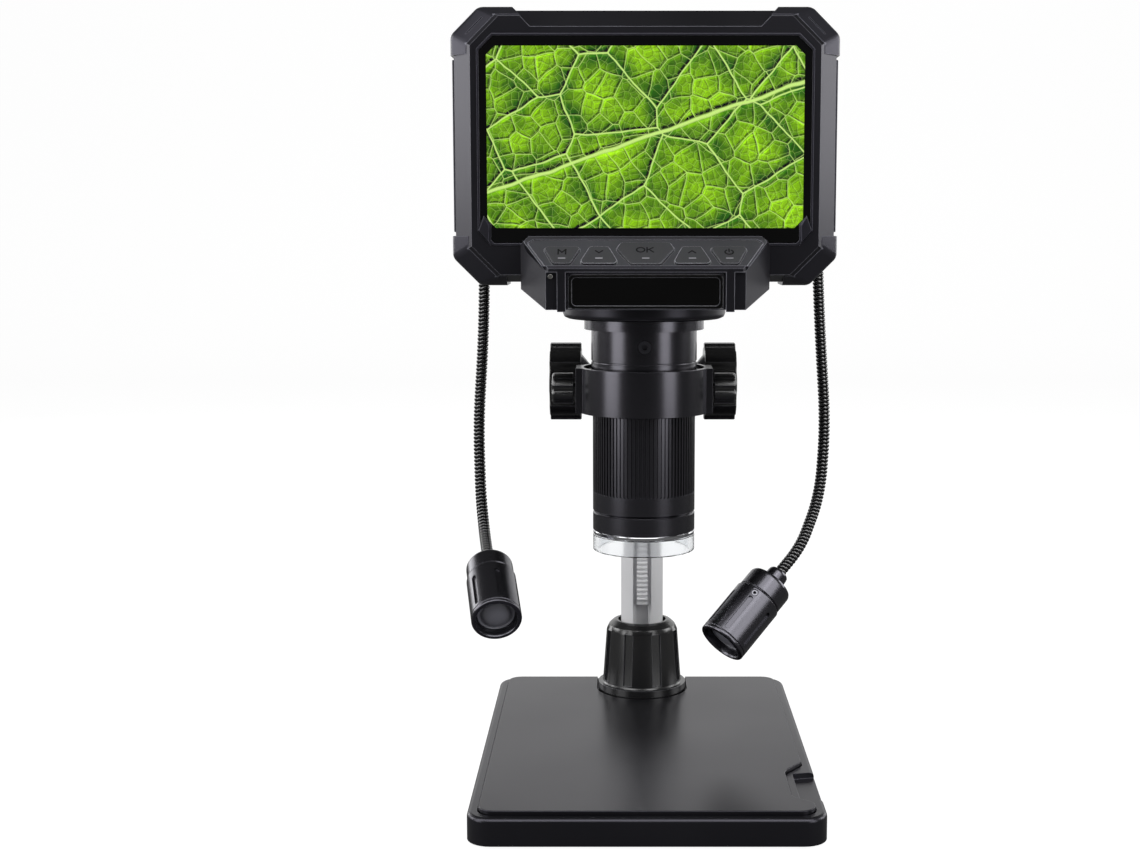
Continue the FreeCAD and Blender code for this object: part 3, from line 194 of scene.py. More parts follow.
# Base
BASE_HALF = (50.5, 71.5)
BASE_CORNER = 7.0
BASE_BOTTOM = 0.8
BASE_TOP = 8.8
BASE_CHAMFER = 1.4
PLATE_INSET = 3.2
PLATE_GAP = 0.3
PLATE_CORNER = 4.5
PLATE_FLOOR = 7.4
PLATE_TOP = 10.0
POCKET_FLOOR = 7.0
NOTCH_X = 41.5
NOTCH_BACK_Y = -26.3
NOTCH_DEEP_Y = -34.3
NOTCH_FRONT_Y = -56.2
BOSS_FLANGE_RADIUS = 15.2
BOSS_FLANGE_TOP = 12.5
BOSS_TOP = 34.5
BOSS_FLUTES = 8
NOTCH_SLANT = 5.0
PAD_INSET = 2.2
PAD_THICKNESS = 1.5
COLUMN_SLOT_HALF = 2.15
COLUMN_SLOT_DEPTH = 5.6
COLUMN_SLOT_ENDS = (28.0, 40.2)

# Control chin
CHIN_FRONT_Y = -24.3
CHIN_HALF = (37.5, 28.7)
COVER_HALF = (36.4, 30.6)
COVER_DEEP = 2.4
SLOPE_START = Vector((0, -10.5, 167.5))
SLOPE_ANGLE = math.radians(31.67)
SLOPE_LENGTH = 15.3
BUTTON_GAP = 0.15
WINDOW_HALF_WIDTH = 22.8
WINDOW_HEIGHTS = (146.9, 157.0)
CHANNEL_ENDS = (26.1, 30.0)
PANEL_DEPTH = (-1.2, -0.2)
SIGN_WIDTH = 0.42
BAR_WIDTH = 0.35
INK_RISE = 0.04

# Lamps
ARM_RADIUS = 1.95
LAMP_RADIUS = 8.0
LAMP_LENGTH = 27.0
LAMP_CAP_LENGTH = 7.0
NECK_BACK = 2.6
LAMPS = {
    "left": (Vector((-50.3, 18.9, 60.7)), Vector((0.154, -0.886, -0.451)).normalized()),
    "right": (Vector((41.6, 17.7, 55.5)), Vector((-0.632, -0.470, -0.637)).normalized()),
}
LAMP_TURNS = {"left": 30.0, "right": 0.0}
NECK_BALL_RADIUS = 2.2
STRIP_THICKNESS = 0.55
LAMP_SLOTS = 6
LAMP_SLOT_SIZE = (0.7, 1.7)
GRUB_SCREW_AT = 2.2
GRUB_SCREW_RADIUS = 1.15

# Gaps between parts, steps round a turned shape, and the angles in degrees past which an edge is drawn
# sharp
CLOSE_FIT = 0.02
SLIDE_FIT = 0.06
FINE_STEPS = 128
ROUND_STEPS = 96
SMALL_STEPS = 32
MOULDED = 24.0
TURNED = 30.0

# The photograph's camera, in metres and degrees
CAMERA_PLACE = (-0.00706, -0.5105, 0.1729)
CAMERA_TILT = 82.84
CAMERA_LENS_MM = 52.19
CAMERA_SENSOR_MM = 36.0
CAMERA_SHIFT = -0.0454

# The paper's section in metres: flat to where it bends up, and then upright
PAPER_HALF_WIDTH = 2.2
PAPER_FRONT = -1.6
PAPER_BEND_START = 1.3
PAPER_BEND_RADIUS = 0.3
PAPER_TOP = 0.85

# Softboxes: width and height in metres, radiance, azimuth, elevation, distance and the height they face
SOFTBOXES = {
    "left_box": ((0.45, 0.5), 4.6, -102, 14, 1.0, 0.17),
    "right_box": ((0.45, 0.5), 4.6, 102, 14, 1.0, 0.17),
    "left_key": ((0.3, 0.66), 3.8, -60, 24, 0.54, 0.12),
    "right_key": ((0.24, 0.66), 3.6, 46, 24, 0.54, 0.12),
    "top_box": ((1.2, 1.0), 3.2, 0, 62, 1.4, 0.12),
    "left_rear_box": ((0.3, 0.4), 3.0, -134, 10, 1.0, 0.12),
    "right_rear_box": ((0.3, 0.4), 2.0, 134, 10, 1.0, 0.12),
    "front_top_strip": ((1.0, 0.15), 5.0, 0, 40, 1.2, 0.12),
}


# Outlines, as lists of points in millimetres

def octagon(half, cut, centre_z, y):
    w, h = half
    corners = [(-w, cut - h), (cut - w, -h), (w - cut, -h), (w, cut - h), (w, h - cut), (w - cut, h),
               (cut - w, h), (-w, h - cut)]
    return [Vector((x, y, z + centre_z)) for x, z in corners]


def rectangle(half, z):
    w, d = half
    return [Vector((-w, -d, z)), Vector((w, -d, z)), Vector((w, d, z)), Vector((-w, d, z))]


def lobed_outline(radius, lobes, bite, reach, steps=6):
    # a round outline with a circular bite between each pair of lobes, as (x, y) about its centre
    half_bite = math.acos((radius ** 2 + reach ** 2 - bite ** 2) / (2 * radius * reach))
    half_arc = math.asin(radius * math.sin(half_bite) / bite)
    points = []
    for i in range(lobes):
        valley = 2 * math.pi * (i + 0.5) / lobes
        for step in range(steps + 1):
            turn = half_arc * (2 * step / steps - 1)
            x = reach - bite * math.cos(turn)
            y = bite * math.sin(turn)
            points.append((x * math.cos(valley) - y * math.sin(valley),
                           x * math.sin(valley) + y * math.cos(valley)))
        span = 2 * math.pi / lobes - 2 * half_bite
        for step in range(1, steps):
            angle = valley + half_bite + span * step / steps
            points.append((radius * math.cos(angle), radius * math.sin(angle)))
    return points


# Building solids

def loop(bm, points):
    verts = [bm.verts.new(point) for point in points]
    return [bm.edges.new((verts[i - 1], verts[i])) for i in range(len(verts))]


def loft(outlines, ring=False):
    # joins matching outlines one after the other; the ends are capped, or joined to each other in a ring
    bm = bmesh.new()
    loops = [loop(bm, points) for points in outlines]
    pairs = list(zip(loops, loops[1:]))
    if ring:
        pairs.append((loops[-1], loops[0]))
    for first, second in pairs:
        bmesh.ops.bridge_loops(bm, edges=first + second)
    if not ring:
        for edges in (loops[0], loops[-1]):
            bmesh.ops.contextual_create(bm, geom=edges)
    bmesh.ops.recalc_face_normals(bm, faces=bm.faces)
    return bm


def prism(points, sweep):
    # a flat outline swept along a straight line
    return loft([points, [point + Vector(sweep) for point in points]])


def box(low, high):
    bm = bmesh.new()
    bmesh.ops.create_cube(bm, size=1.0)
    size = Vector(high) - Vector(low)
    bmesh.ops.scale(bm, vec=size, verts=bm.verts)
    bmesh.ops.translate(bm, vec=Vector(low) + size / 2, verts=bm.verts)
    return bm


def lathe(profile, steps=ROUND_STEPS, closed=True):
    # turns a profile of (radius, height) points about Z; a closed profile makes a ring
    bm = bmesh.new()
    verts = [bm.verts.new((radius, 0, height)) for radius, height in profile]
    edges = [bm.edges.new(pair) for pair in zip(verts, verts[1:])]
    if closed:
        edges.append(bm.edges.new((verts[-1], verts[0])))
    bmesh.ops.spin(bm, geom=verts + edges, cent=(0, 0, 0), axis=(0, 0, 1), angle=2 * math.pi, steps=steps,
                   use_merge=True)
    bmesh.ops.remove_doubles(bm, verts=bm.verts, dist=0.0005)
    bmesh.ops.recalc_face_normals(bm, faces=bm.faces)
    return bm


def rod(radius, start, end, steps=48):
    start, end = Vector(start), Vector(end)
    bm = bmesh.new()
    bmesh.ops.create_cone(bm, cap_ends=True, segments=steps, radius1=radius, radius2=radius,
                          depth=(end - start).length)
    place(bm, (start + end) / 2, end - start)
    return bm


def place(bm, where, along=(0, 0, 1)):
    # turns +Z of the shape to a direction, then moves it
    turn = Vector((0, 0, 1)).rotation_difference(Vector(along)).to_matrix().to_4x4()
    bmesh.ops.transform(bm, matrix=Matrix.Translation(where) @ turn, verts=bm.verts)
    return bm


def turned(bm, degrees):
    bmesh.ops.rotate(bm, matrix=Matrix.Rotation(math.radians(degrees), 3, "Z"), verts=bm.verts)
    return bm


def swept_face(bm, sweep):
    # pulls a flat face out into a solid
    swept = bmesh.ops.extrude_face_region(bm, geom=bm.faces[:])
    moved = [v for v in swept["geom"] if isinstance(v, bmesh.types.BMVert)]
    bmesh.ops.translate(bm, vec=sweep, verts=moved)
    bmesh.ops.recalc_face_normals(bm, faces=bm.faces)
    return bm


def facing_front(points, y):
    # a flat outline of (x, z) points, upright and square to the view from the front
    return [Vector((x, y, z)) for x, z in points]


def mirrored(bm):
    copy = bm.copy()
    bmesh.ops.scale(copy, vec=(-1, 1, 1), verts=copy.verts)
    bmesh.ops.reverse_faces(copy, faces=copy.faces)
    return copy


def merged(shapes):
    # puts separate solids into one mesh
    whole = shapes[0]
    for shape in shapes[1:]:
        mesh = bpy.data.meshes.new("part")
        shape.to_mesh(mesh)
        shape.free()
        whole.from_mesh(mesh)
        bpy.data.meshes.remove(mesh)
    return whole


def loose_object(bm):
    mesh = bpy.data.meshes.new("blank")
    bm.to_mesh(mesh)
    bm.free()
    blank = bpy.data.objects.new("blank", mesh)
    bpy.context.collection.objects.link(blank)
    return blank


def carve(bm, tools, operation="DIFFERENCE"):
    # machines the solid with each tool in turn, then tidies the flat faces
    blank = loose_object(bm)
    blades = [loose_object(tool) for tool in tools]
    for blade in blades:
        cut = blank.modifiers.new("Cut", "BOOLEAN")
        cut.operation = operation
        cut.solver = "EXACT"
        cut.object = blade
    mesh = bpy.data.meshes.new_from_object(blank.evaluated_get(bpy.context.evaluated_depsgraph_get()))
    for used in [blank] + blades:
        old = used.data
        bpy.data.objects.remove(used)
        bpy.data.meshes.remove(old)
    result = bmesh.new()
    result.from_mesh(mesh)
    bpy.data.meshes.remove(mesh)
    bmesh.ops.remove_doubles(result, verts=result.verts, dist=0.002)
    bmesh.ops.dissolve_degenerate(result, dist=0.002, edges=result.edges)
    bmesh.ops.dissolve_limit(result, angle_limit=math.radians(0.5), verts=result.verts, edges=result.edges)
    return result


def lowest(edge, axis):
    return min(vert.co[axis] for vert in edge.verts)


def highest(edge, axis):
    return max(vert.co[axis] for vert in edge.verts)


def climb(edge):
    return highest(edge, Z) - lowest(edge, Z)


def sharp_edges(bm, angle=28.0, where=lambda edge: True):
    limit = math.radians(angle)
    return [e for e in bm.edges if len(e.link_faces) == 2 and e.calc_face_angle(0) > limit and where(e)]


def soften(bm, width, segments=2, angle=28.0, where=lambda edge: True):
    # rounds the sharp edges, as a mould or a tumbled part has them
    bmesh.ops.bevel(bm, geom=sharp_edges(bm, angle, where), offset=width, offset_type="OFFSET",
                    segments=segments, profile=0.5, affect="EDGES", clamp_overlap=True, material=-1)
    return bm


def round_corners(bm, verts, radius, segments=8):
    bmesh.ops.bevel(bm, geom=verts, offset=radius, offset_type="OFFSET", segments=segments,
                    profile=0.5, affect="VERTICES", material=-1)


def finish(bm, name, body, make, nodes=(), smooth=40.0):
    # scales a finished shape to metres, gives it the material of its finish and hands it to the frame
    bmesh.ops.recalc_face_normals(bm, faces=bm.faces)
    bmesh.ops.scale(bm, vec=(MM, MM, MM), verts=bm.verts)
    mesh = bpy.data.meshes.new(name)
    bm.to_mesh(mesh)
    bm.free()
    mesh.polygons.foreach_set("use_smooth", [True] * len(mesh.polygons))
    mesh.set_sharp_from_angle(angle=math.radians(smooth))
    mesh.materials.append(surface(make))
    piece = bpy.data.objects.new(name, mesh)
    bpy.context.collection.objects.link(piece)
    weighted = piece.modifiers.new("Even shading", "WEIGHTED_NORMAL")
    weighted.keep_sharp = True
    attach(piece, body)
    if nodes:
        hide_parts(*nodes)
    return piece


def paint(node, material):
    frame["nodes"][node].data.materials.clear()
    frame["nodes"][node].data.materials.append(material)


# Finishes

def palette():
    return bpy.context.scene.microscope_colours


def add_node(material, kind, inputs=None, **settings):
    # adds a node with its settings, and fills or links its inputs; a colour is an sRGB hex value
    tree = material.node_tree
    node = tree.nodes.new(kind)
    for name, value in settings.items():
        setattr(node, name, value)
    for socket, value in (inputs or {}).items():
        if isinstance(value, bpy.types.NodeSocket):
            tree.links.new(value, node.inputs[socket])
        else:
            node.inputs[socket].default_value = linear(value) if isinstance(value, str) else value
    return node


def start_finish(name):
    # an empty material, and its coordinates in millimetres
    material = bpy.data.materials.new(name)
    material.use_nodes = True
    material.node_tree.nodes.clear()
    coords = add_node(material, "ShaderNodeTexCoord")
    scaled = add_node(material, "ShaderNodeVectorMath", {0: coords.outputs["Object"], 1: (1 / MM,) * 3},
                      operation="MULTIPLY")
    return material, scaled.outputs[0]


def end_finish(material, inputs):
    shader = add_node(material, "ShaderNodeBsdfPrincipled", inputs)
    add_node(material, "ShaderNodeOutputMaterial", {"Surface": shader.outputs[0]})
    return material


# How nearly the rounded and the plain surface agree where a painted edge highlight starts, and where
# it is full
EDGE_COSINES = (0.985, 0.88)


def edge_highlight_share(material, width):
    # 1 on an edge, where rounding by the given millimetres turns the surface, and 0 away from it: the mask
    # of the painted edge highlights
    rounded = add_node(material, "ShaderNodeBevel", {"Radius": width * MM}, samples=12)
    plain = add_node(material, "ShaderNodeNewGeometry")
    agree = add_node(material, "ShaderNodeVectorMath", {0: rounded.outputs[0], 1: plain.outputs["Normal"]},
                     operation="DOT_PRODUCT")
    return add_node(material, "ShaderNodeMapRange", {"Value": agree.outputs["Value"],
                                                     "From Min": EDGE_COSINES[0],
                                                     "From Max": EDGE_COSINES[1]}).outputs[0]


def grained_finish(name, colour, rubbed, rough, grain, depth, extra, edges=None, line=0.3):
    # a fine even grain of a given width and depth in millimetres, with drifts of tone and gloss 40 mm long
    # from handling; edges is the lighter colour of a painted highlight, a line drawn along the edges, and
    # line is the rounding in millimetres that sets its width
    material, coords = start_finish(name)
    fine = add_node(material, "ShaderNodeTexNoise", {"Vector": coords, "Scale": 1 / grain, "Detail": 3.0,
                                                     "Roughness": 0.6})
    slow = add_node(material, "ShaderNodeTexNoise", {"Vector": coords, "Scale": 1 / 40, "Detail": 2.0})
    drift = add_node(material, "ShaderNodeMapRange", {"Value": slow.outputs["Fac"], "From Min": 0.38,
                                                      "From Max": 0.72})
    tone = add_node(material, "ShaderNodeMix", {"Factor": drift.outputs["Result"], 6: colour, 7: rubbed},
                    data_type="RGBA")
    gloss = add_node(material, "ShaderNodeMapRange", {"Value": slow.outputs["Fac"], "From Min": 0.3,
                                                      "From Max": 0.7, "To Min": rough - 0.01,
                                                      "To Max": rough + 0.02})
    bump = add_node(material, "ShaderNodeBump", {"Height": fine.outputs["Fac"], "Distance": depth * MM,
                                                 "Strength": 0.7})
    inputs = {"Base Color": tone.outputs[2], "Roughness": gloss.outputs["Result"],
              "Normal": bump.outputs[0]}
    # painted highlight: the edges colour is mixed into the base colour along every edge
    if edges is not None:
        edge_highlighted = add_node(material, "ShaderNodeMix", {"Factor": edge_highlight_share(material, line),
                                                     6: tone.outputs[2], 7: edges}, data_type="RGBA")
        inputs["Base Color"] = edge_highlighted.outputs[2]
    inputs.update(extra)
    return end_finish(material, inputs)


def cast_enamel(name):
    # Stoved black enamel on die-cast zinc: sprayed on, so it lies in faint ripples about 1.4 mm apart
    # and shines softly, with broad blurred reflections that grow stronger at a low angle.
    # the paler line along the edges is a painted highlight
    return grained_finish(name, palette().enamel, "#0e0e10", 0.3, 1.4, 0.004,
                          {"IOR": 1.5, "Specular IOR Level": 0.5, "Specular Tint": "#e6e3f5"}, "#6c6c74")


def gloss_abs(name):
    # Polished black ABS, injection moulded in a bright tool: near-black with clear, slightly soft
    # highlights.
    # the paler line along the edges is a painted highlight
    return grained_finish(name, palette().gloss_plastic, "#131314", 0.24, 2.4, 0.006,
                          {"IOR": 1.58, "Specular IOR Level": 0.7}, "#5c5c63", 0.25)


def satin_abs(name):
    # Black ABS moulded in a finely spark-eroded tool: a 0.35 mm grain that breaks the highlights a little.
    # the paler line along the edges is a painted highlight
    return grained_finish(name, palette().housing, "#0f0f11", 0.33, 0.35, 0.006,
                          {"IOR": 1.5, "Specular Tint": "#e6e3f5"}, "#7c7c84")


def bumper_rubber(name):
    # Overmoulded black elastomer at the corners: softer and greyer than the shell, with a 0.45 mm grain.
    # the paler line along the edges is a painted highlight
    return grained_finish(name, palette().bumper, "#1a1a1d", 0.33, 0.45, 0.008,
                          {"IOR": 1.5, "Specular Tint": "#dedaf4"}, "#5c5c63")


def slope_abs(name):
    # Matt charcoal ABS of the slope round the buttons: a 0.3 mm grain that spreads the light evenly.
    # the pale line along the edges of the seat and holes is a painted highlight
    return grained_finish(name, palette().surround, "#2c2c31", 0.45, 0.3, 0.006,
                          {"IOR": 1.5, "Specular IOR Level": 0.3}, "#c4c4cc", 0.3)


def key_abs(name):
    # Charcoal ABS of the buttons, a shade darker than the slope round them, with a pale highlight painted
    # along their rims.
    return grained_finish(name, "#17171a", "#1d1d21", 0.4, 0.3, 0.006,
                          {"IOR": 1.5, "Specular IOR Level": 0.35}, "#dadae2", 0.35)


def turned_anodised(name):
    # Black anodised aluminium turned on a lathe: a dark oxide layer over fine tool rings, drawn 0.3 mm
    # apart, that only show as a slight change of gloss along the barrel, so each highlight keeps soft
    # edges.
    material, coords = start_finish(name)
    stretch = add_node(material, "ShaderNodeMapping", {"Vector": coords, "Scale": (0.02, 0.02, 1.0)})
    rings = add_node(material, "ShaderNodeTexNoise", {"Vector": stretch.outputs[0], "Scale": 1 / 0.3,
                                                      "Detail": 1.0})
    slow = add_node(material, "ShaderNodeTexNoise", {"Vector": coords, "Scale": 1 / 9, "Detail": 3.0})
    tone = add_node(material, "ShaderNodeMix", {"Factor": slow.outputs["Fac"], 6: palette().anodised,
                                                7: "#0b0b0d"}, data_type="RGBA")
    gloss = add_node(material, "ShaderNodeMapRange", {"Value": rings.outputs["Fac"], "To Min": 0.22,
                                                      "To Max": 0.27})
    return end_finish(material, {"Base Color": tone.outputs[2], "Roughness": gloss.outputs["Result"],
                                 "IOR": 1.6, "Specular IOR Level": 0.75, "Specular Tint": "#eceaf8"})


def ground_metal(name, colour, rough, spacing, bare=1.0):
    # fine grinding lines along the part, a given distance apart in millimetres, over a bright metal
    material, coords = start_finish(name)
    stretch = add_node(material, "ShaderNodeMapping", {"Vector": coords, "Scale": (1.0, 1.0, 0.03)})
    lines = add_node(material, "ShaderNodeTexNoise", {"Vector": stretch.outputs[0], "Scale": 1 / spacing,
                                                      "Detail": 2.0})
    slow = add_node(material, "ShaderNodeTexNoise", {"Vector": coords, "Scale": 1 / 12, "Detail": 2.0})
    gloss = add_node(material, "ShaderNodeMapRange", {"Value": lines.outputs["Fac"], "To Min": rough - 0.01,
                                                      "To Max": rough + 0.02})
    shade = add_node(material, "ShaderNodeMix", {"Factor": slow.outputs["Fac"], 6: colour,
                                                 7: tuple(0.9 * c for c in colour[:3]) + (1.0,)},
                     data_type="RGBA")
    bump = add_node(material, "ShaderNodeBump", {"Height": lines.outputs["Fac"], "Distance": 0.002 * MM,
                                                 "Strength": 0.4})
    return end_finish(material, {"Base Color": shade.outputs[2], "Metallic": bare,
                                 "Roughness": gloss.outputs["Result"], "Normal": bump.outputs[0]})


def hard_chrome(name):
    # Hard chrome on a ground steel bar, left satin: the plating scatters part of the light, so the bar is
    # pale all over, and the grinding lines along it, drawn 0.5 mm apart to show, soften its highlights.
    return ground_metal(name, palette().chrome, 0.34, 0.5, 0.2)


def machine_steel(name):
    # Bright zinc-plated steel of the screws and the shaft: a duller, slightly warm metal.
    return ground_metal(name, linear("#b9b8b4"), 0.26, 0.3)


def bearing_brass(name):
    # Turned brass of the shaft bushes: a yellow metal with a soft sheen.
    return ground_metal(name, linear("#c9a254"), 0.25, 0.3)


def bright_trim(name):
    # Polished nickel of the thin ring over the guard: a pale, clean metal edge.
    return ground_metal(name, linear("#d2d3d6"), 0.14, 0.4)


def blasted_anodised(name):
    # Black anodised aluminium of the lamps, bead blasted before the dye: dark, with one broad, even sheen.
    return grained_finish(name, palette().anodised, "#0b0b0d", 0.25, 3.0, 0.002,
                          {"IOR": 1.6, "Specular IOR Level": 0.9, "Specular Tint": "#eceaf8"})


def lacquered_steel(name):
    # Spring steel of the wound sheaths under gloss black lacquer: the shine is cut almost to nothing where
    # the surface is hollow, a painted shade in the grooves between the turns, so each crest carries a
    # small sharp highlight and the grooves stay dull and black.
    material, coords = start_finish(name)
    grime = add_node(material, "ShaderNodeTexNoise", {"Vector": coords, "Scale": 1 / 1.2, "Detail": 2.0})
    tone = add_node(material, "ShaderNodeMix", {"Factor": grime.outputs["Fac"], 6: palette().sheath,
                                                7: "#0a0a0b"}, data_type="RGBA")
    shape = add_node(material, "ShaderNodeNewGeometry")
    # painted shade: the shine falls to 0.04 in the hollows between the turns and is full on the crests
    groove_shade = add_node(material, "ShaderNodeMapRange", {"Value": shape.outputs["Pointiness"], "From Min": 0.5,
                                                      "From Max": 0.58, "To Min": 0.04, "To Max": 1.0})
    return end_finish(material, {"Base Color": tone.outputs[2], "Roughness": 0.14, "IOR": 1.6,
                                 "Specular IOR Level": groove_shade.outputs["Result"]})


def oxided_steel(name):
    # Black-oxided steel of the small hex screws: a dark metal with a dull shine.
    return ground_metal(name, linear("#58585e"), 0.35, 0.3)


def socket_steel(name):
    # Plain steel of the small socket screws: machined faces that are too small to mirror anything, a dull
    # grey.
    return ground_metal(name, linear("#85858b"), 0.42, 0.3)


def milled_steel(name):
    # Milled, zinc-plated steel of the rack: cutter marks scatter the light, and it is painted near-white
    # and barely metallic, a painted lightness that lifts it out of the shade down in its groove.
    return ground_metal(name, linear("#f0f0f2"), 0.5, 0.3, 0.1)


def lamp_dome(name):
    # Smoked polycarbonate of a lamp's front, moulded with a fine frost: the dome takes light as one soft
    # patch.
    return grained_finish(name, "#6e6e76", "#7a7a82", 0.42, 3.0, 0.002, {"IOR": 1.58})


def clear_finish(name, tint, patch, detail, polished, hazy, extra):
    # a see-through finish with patches of haze from its polishing, of a given width in millimetres
    material, coords = start_finish(name)
    haze = add_node(material, "ShaderNodeTexNoise", {"Vector": coords, "Scale": 1 / patch,
                                                     "Detail": detail})
    gloss = add_node(material, "ShaderNodeMapRange", {"Value": haze.outputs["Fac"], "To Min": polished,
                                                      "To Max": hazy})
    inputs = {"Base Color": tint, "Roughness": gloss.outputs["Result"], "Transmission Weight": 1.0}
    inputs.update(extra)
    return end_finish(material, inputs)


def guard_acrylic(name):
    # Clear turned acrylic of the guard: see-through, with polished faces and a faint haze from the tool.
    return clear_finish(name, "#f4f6f8", 3, 2.0, 0.04, 0.16, {"IOR": 1.49})


def coated_glass(name):
    # Polished optical glass with a thin coating: a deep, faintly violet shine over the dark inside.
    return clear_finish(name, "#c9c6d2", 5, 1.0, 0.0, 0.03, {"IOR": 1.6, "Specular Tint": "#d8ccff"})


def cover_glass(name):
    # Toughened cover glass of the screen: flat and clear, with a sharp weak reflection.
    return clear_finish(name, "#fbfffd", 30, 1.0, 0.0, 0.015, {"IOR": 1.5})


def printed_border(name):
    # Black ink printed behind the edge of the cover glass: it reads as a deep, even, shiny black.
    return grained_finish(name, "#030303", "#060607", 0.06, 3.0, 0.0005, {"IOR": 1.5})


def smoked_acrylic(name):
    # Piano-black acrylic of the chin's window: a black mirror with long clean reflections.
    # the pale line along the pane's edges is a painted highlight
    return grained_finish(name, "#020202", "#050505", 0.08, 4.0, 0.001, {"IOR": 1.5}, "#6a6a70")


def foam_rubber(name):
    # Closed-cell foam sheet under the base: matt, with open pores about 0.6 mm wide.
    return grained_finish(name, "#121212", "#1e1e1e", 0.85, 0.6, 0.08, {})


def black_nylon(name):
    # Black nylon of the liner and the thumb tips: waxy and half matt, with a 0.5 mm grain.
    return grained_finish(name, "#0e0e0f", "#191919", 0.38, 0.5, 0.01, {"IOR": 1.53})


def grey_silicone(name):
    # Grey silicone of the keypad: soft and matt.
    return grained_finish(name, "#6c6f73", "#7b7e82", 0.6, 0.5, 0.01, {})


def battery_film(name):
    # Foil pouch of the battery, heat-sealed: a silvery film with shallow wrinkles about 5 mm apart.
    return grained_finish(name, "#a9adb2", "#8e9298", 0.35, 5.0, 0.12, {"Metallic": 0.8})


def circuit_board(name):
    # Green solder mask over copper on glass-fibre board: brighter where the tracks run, 1.2 mm apart.
    material, coords = start_finish(name)
    cells = add_node(material, "ShaderNodeTexVoronoi", {"Vector": coords, "Scale": 1 / 1.2},
                     distance="CHEBYCHEV")
    track = add_node(material, "ShaderNodeMapRange", {"Value": cells.outputs["Distance"], "From Min": 0.3,
                                                      "From Max": 0.42})
    tone = add_node(material, "ShaderNodeMix", {"Factor": track.outputs["Result"], 6: "#0f4a26",
                                                7: "#1c6f3a"}, data_type="RGBA")
    bump = add_node(material, "ShaderNodeBump", {"Height": track.outputs["Result"], "Distance": 0.03 * MM,
                                                 "Strength": 0.5})
    return end_finish(material, {"Base Color": tone.outputs[2], "Roughness": 0.35,
                                 "Normal": bump.outputs[0]})


def lamp_board(name):
    # White solder mask round a yellow phosphor chip: the chip is the 3.5 mm square in the middle.
    return grained_finish(name, "#d9d8cf", "#cfc98e", 0.45, 1.0, 0.01, {})


def dark_ink(name):
    # Black pad-printed ink of the letters and signs on the keys: thin, matt and darker than the key.
    return grained_finish(name, "#020202", "#050505", 0.6, 0.4, 0.002,
                          {"IOR": 1.5, "Specular IOR Level": 0.1})


def label_ink(name):
    # Pale grey pad-printed ink of the short bars under the signs: thin, matt and slightly uneven.
    return grained_finish(name, palette().marks, "#b8b8bb", 0.5, 0.4, 0.004, {})


# The leaf on the screen: for each net of veins the width of its cells and half the width of a vein, in
# millimetres, and how strongly it is drawn; then the midrib's tilt and half width, how far the veins
# wander, and how far the two copies that model them are moved and widened
VEIN_NETS = ((21.0, 0.34, 0.95), (6.4, 0.17, 0.7), (2.2, 0.09, 0.34))
MIDRIB_TILT = 19.0
MIDRIB_HALF_WIDTH = 0.75
VEIN_WANDER = 1.5
RELIEF_SHIFT = 0.4
RELIEF_SPREAD = 2.2


def leaf_net(material, flat, cell):
    # the distance to the nearest line of a net of polygons, as a share of their size
    net = add_node(material, "ShaderNodeTexVoronoi", {"Vector": flat, "Scale": 1 / cell},
                   voronoi_dimensions="2D", feature="DISTANCE_TO_EDGE")
    return net.outputs["Distance"]


def leaf_veins(material, flat, spread):
    # how strongly a vein of the leaf covers a place on the picture; spread widens every vein, and the
    # midrib runs from lower left to upper right
    tilted = add_node(material, "ShaderNodeMapping",
                      {"Vector": flat, "Rotation": (0.0, 0.0, math.radians(-MIDRIB_TILT))})
    parts = add_node(material, "ShaderNodeSeparateXYZ", {0: tilted.outputs[0]})
    away = add_node(material, "ShaderNodeMath", {0: parts.outputs["Y"]}, operation="ABSOLUTE").outputs[0]
    lines = [(leaf_net(material, flat, cell), spread * line / cell, strength)
             for cell, line, strength in VEIN_NETS]
    lines.append((away, spread * MIDRIB_HALF_WIDTH, 1.0))
    height = 0.0
    for distance, half, strength in lines:
        band = add_node(material, "ShaderNodeMapRange", {"Value": distance, "From Min": half * 0.35,
                                                         "From Max": half, "To Min": strength,
                                                         "To Max": 0.0}, interpolation_type="SMOOTHSTEP")
        height = add_node(material, "ShaderNodeMath", {0: height, 1: band.outputs[0]},
                          operation="MAXIMUM").outputs[0]
    return height


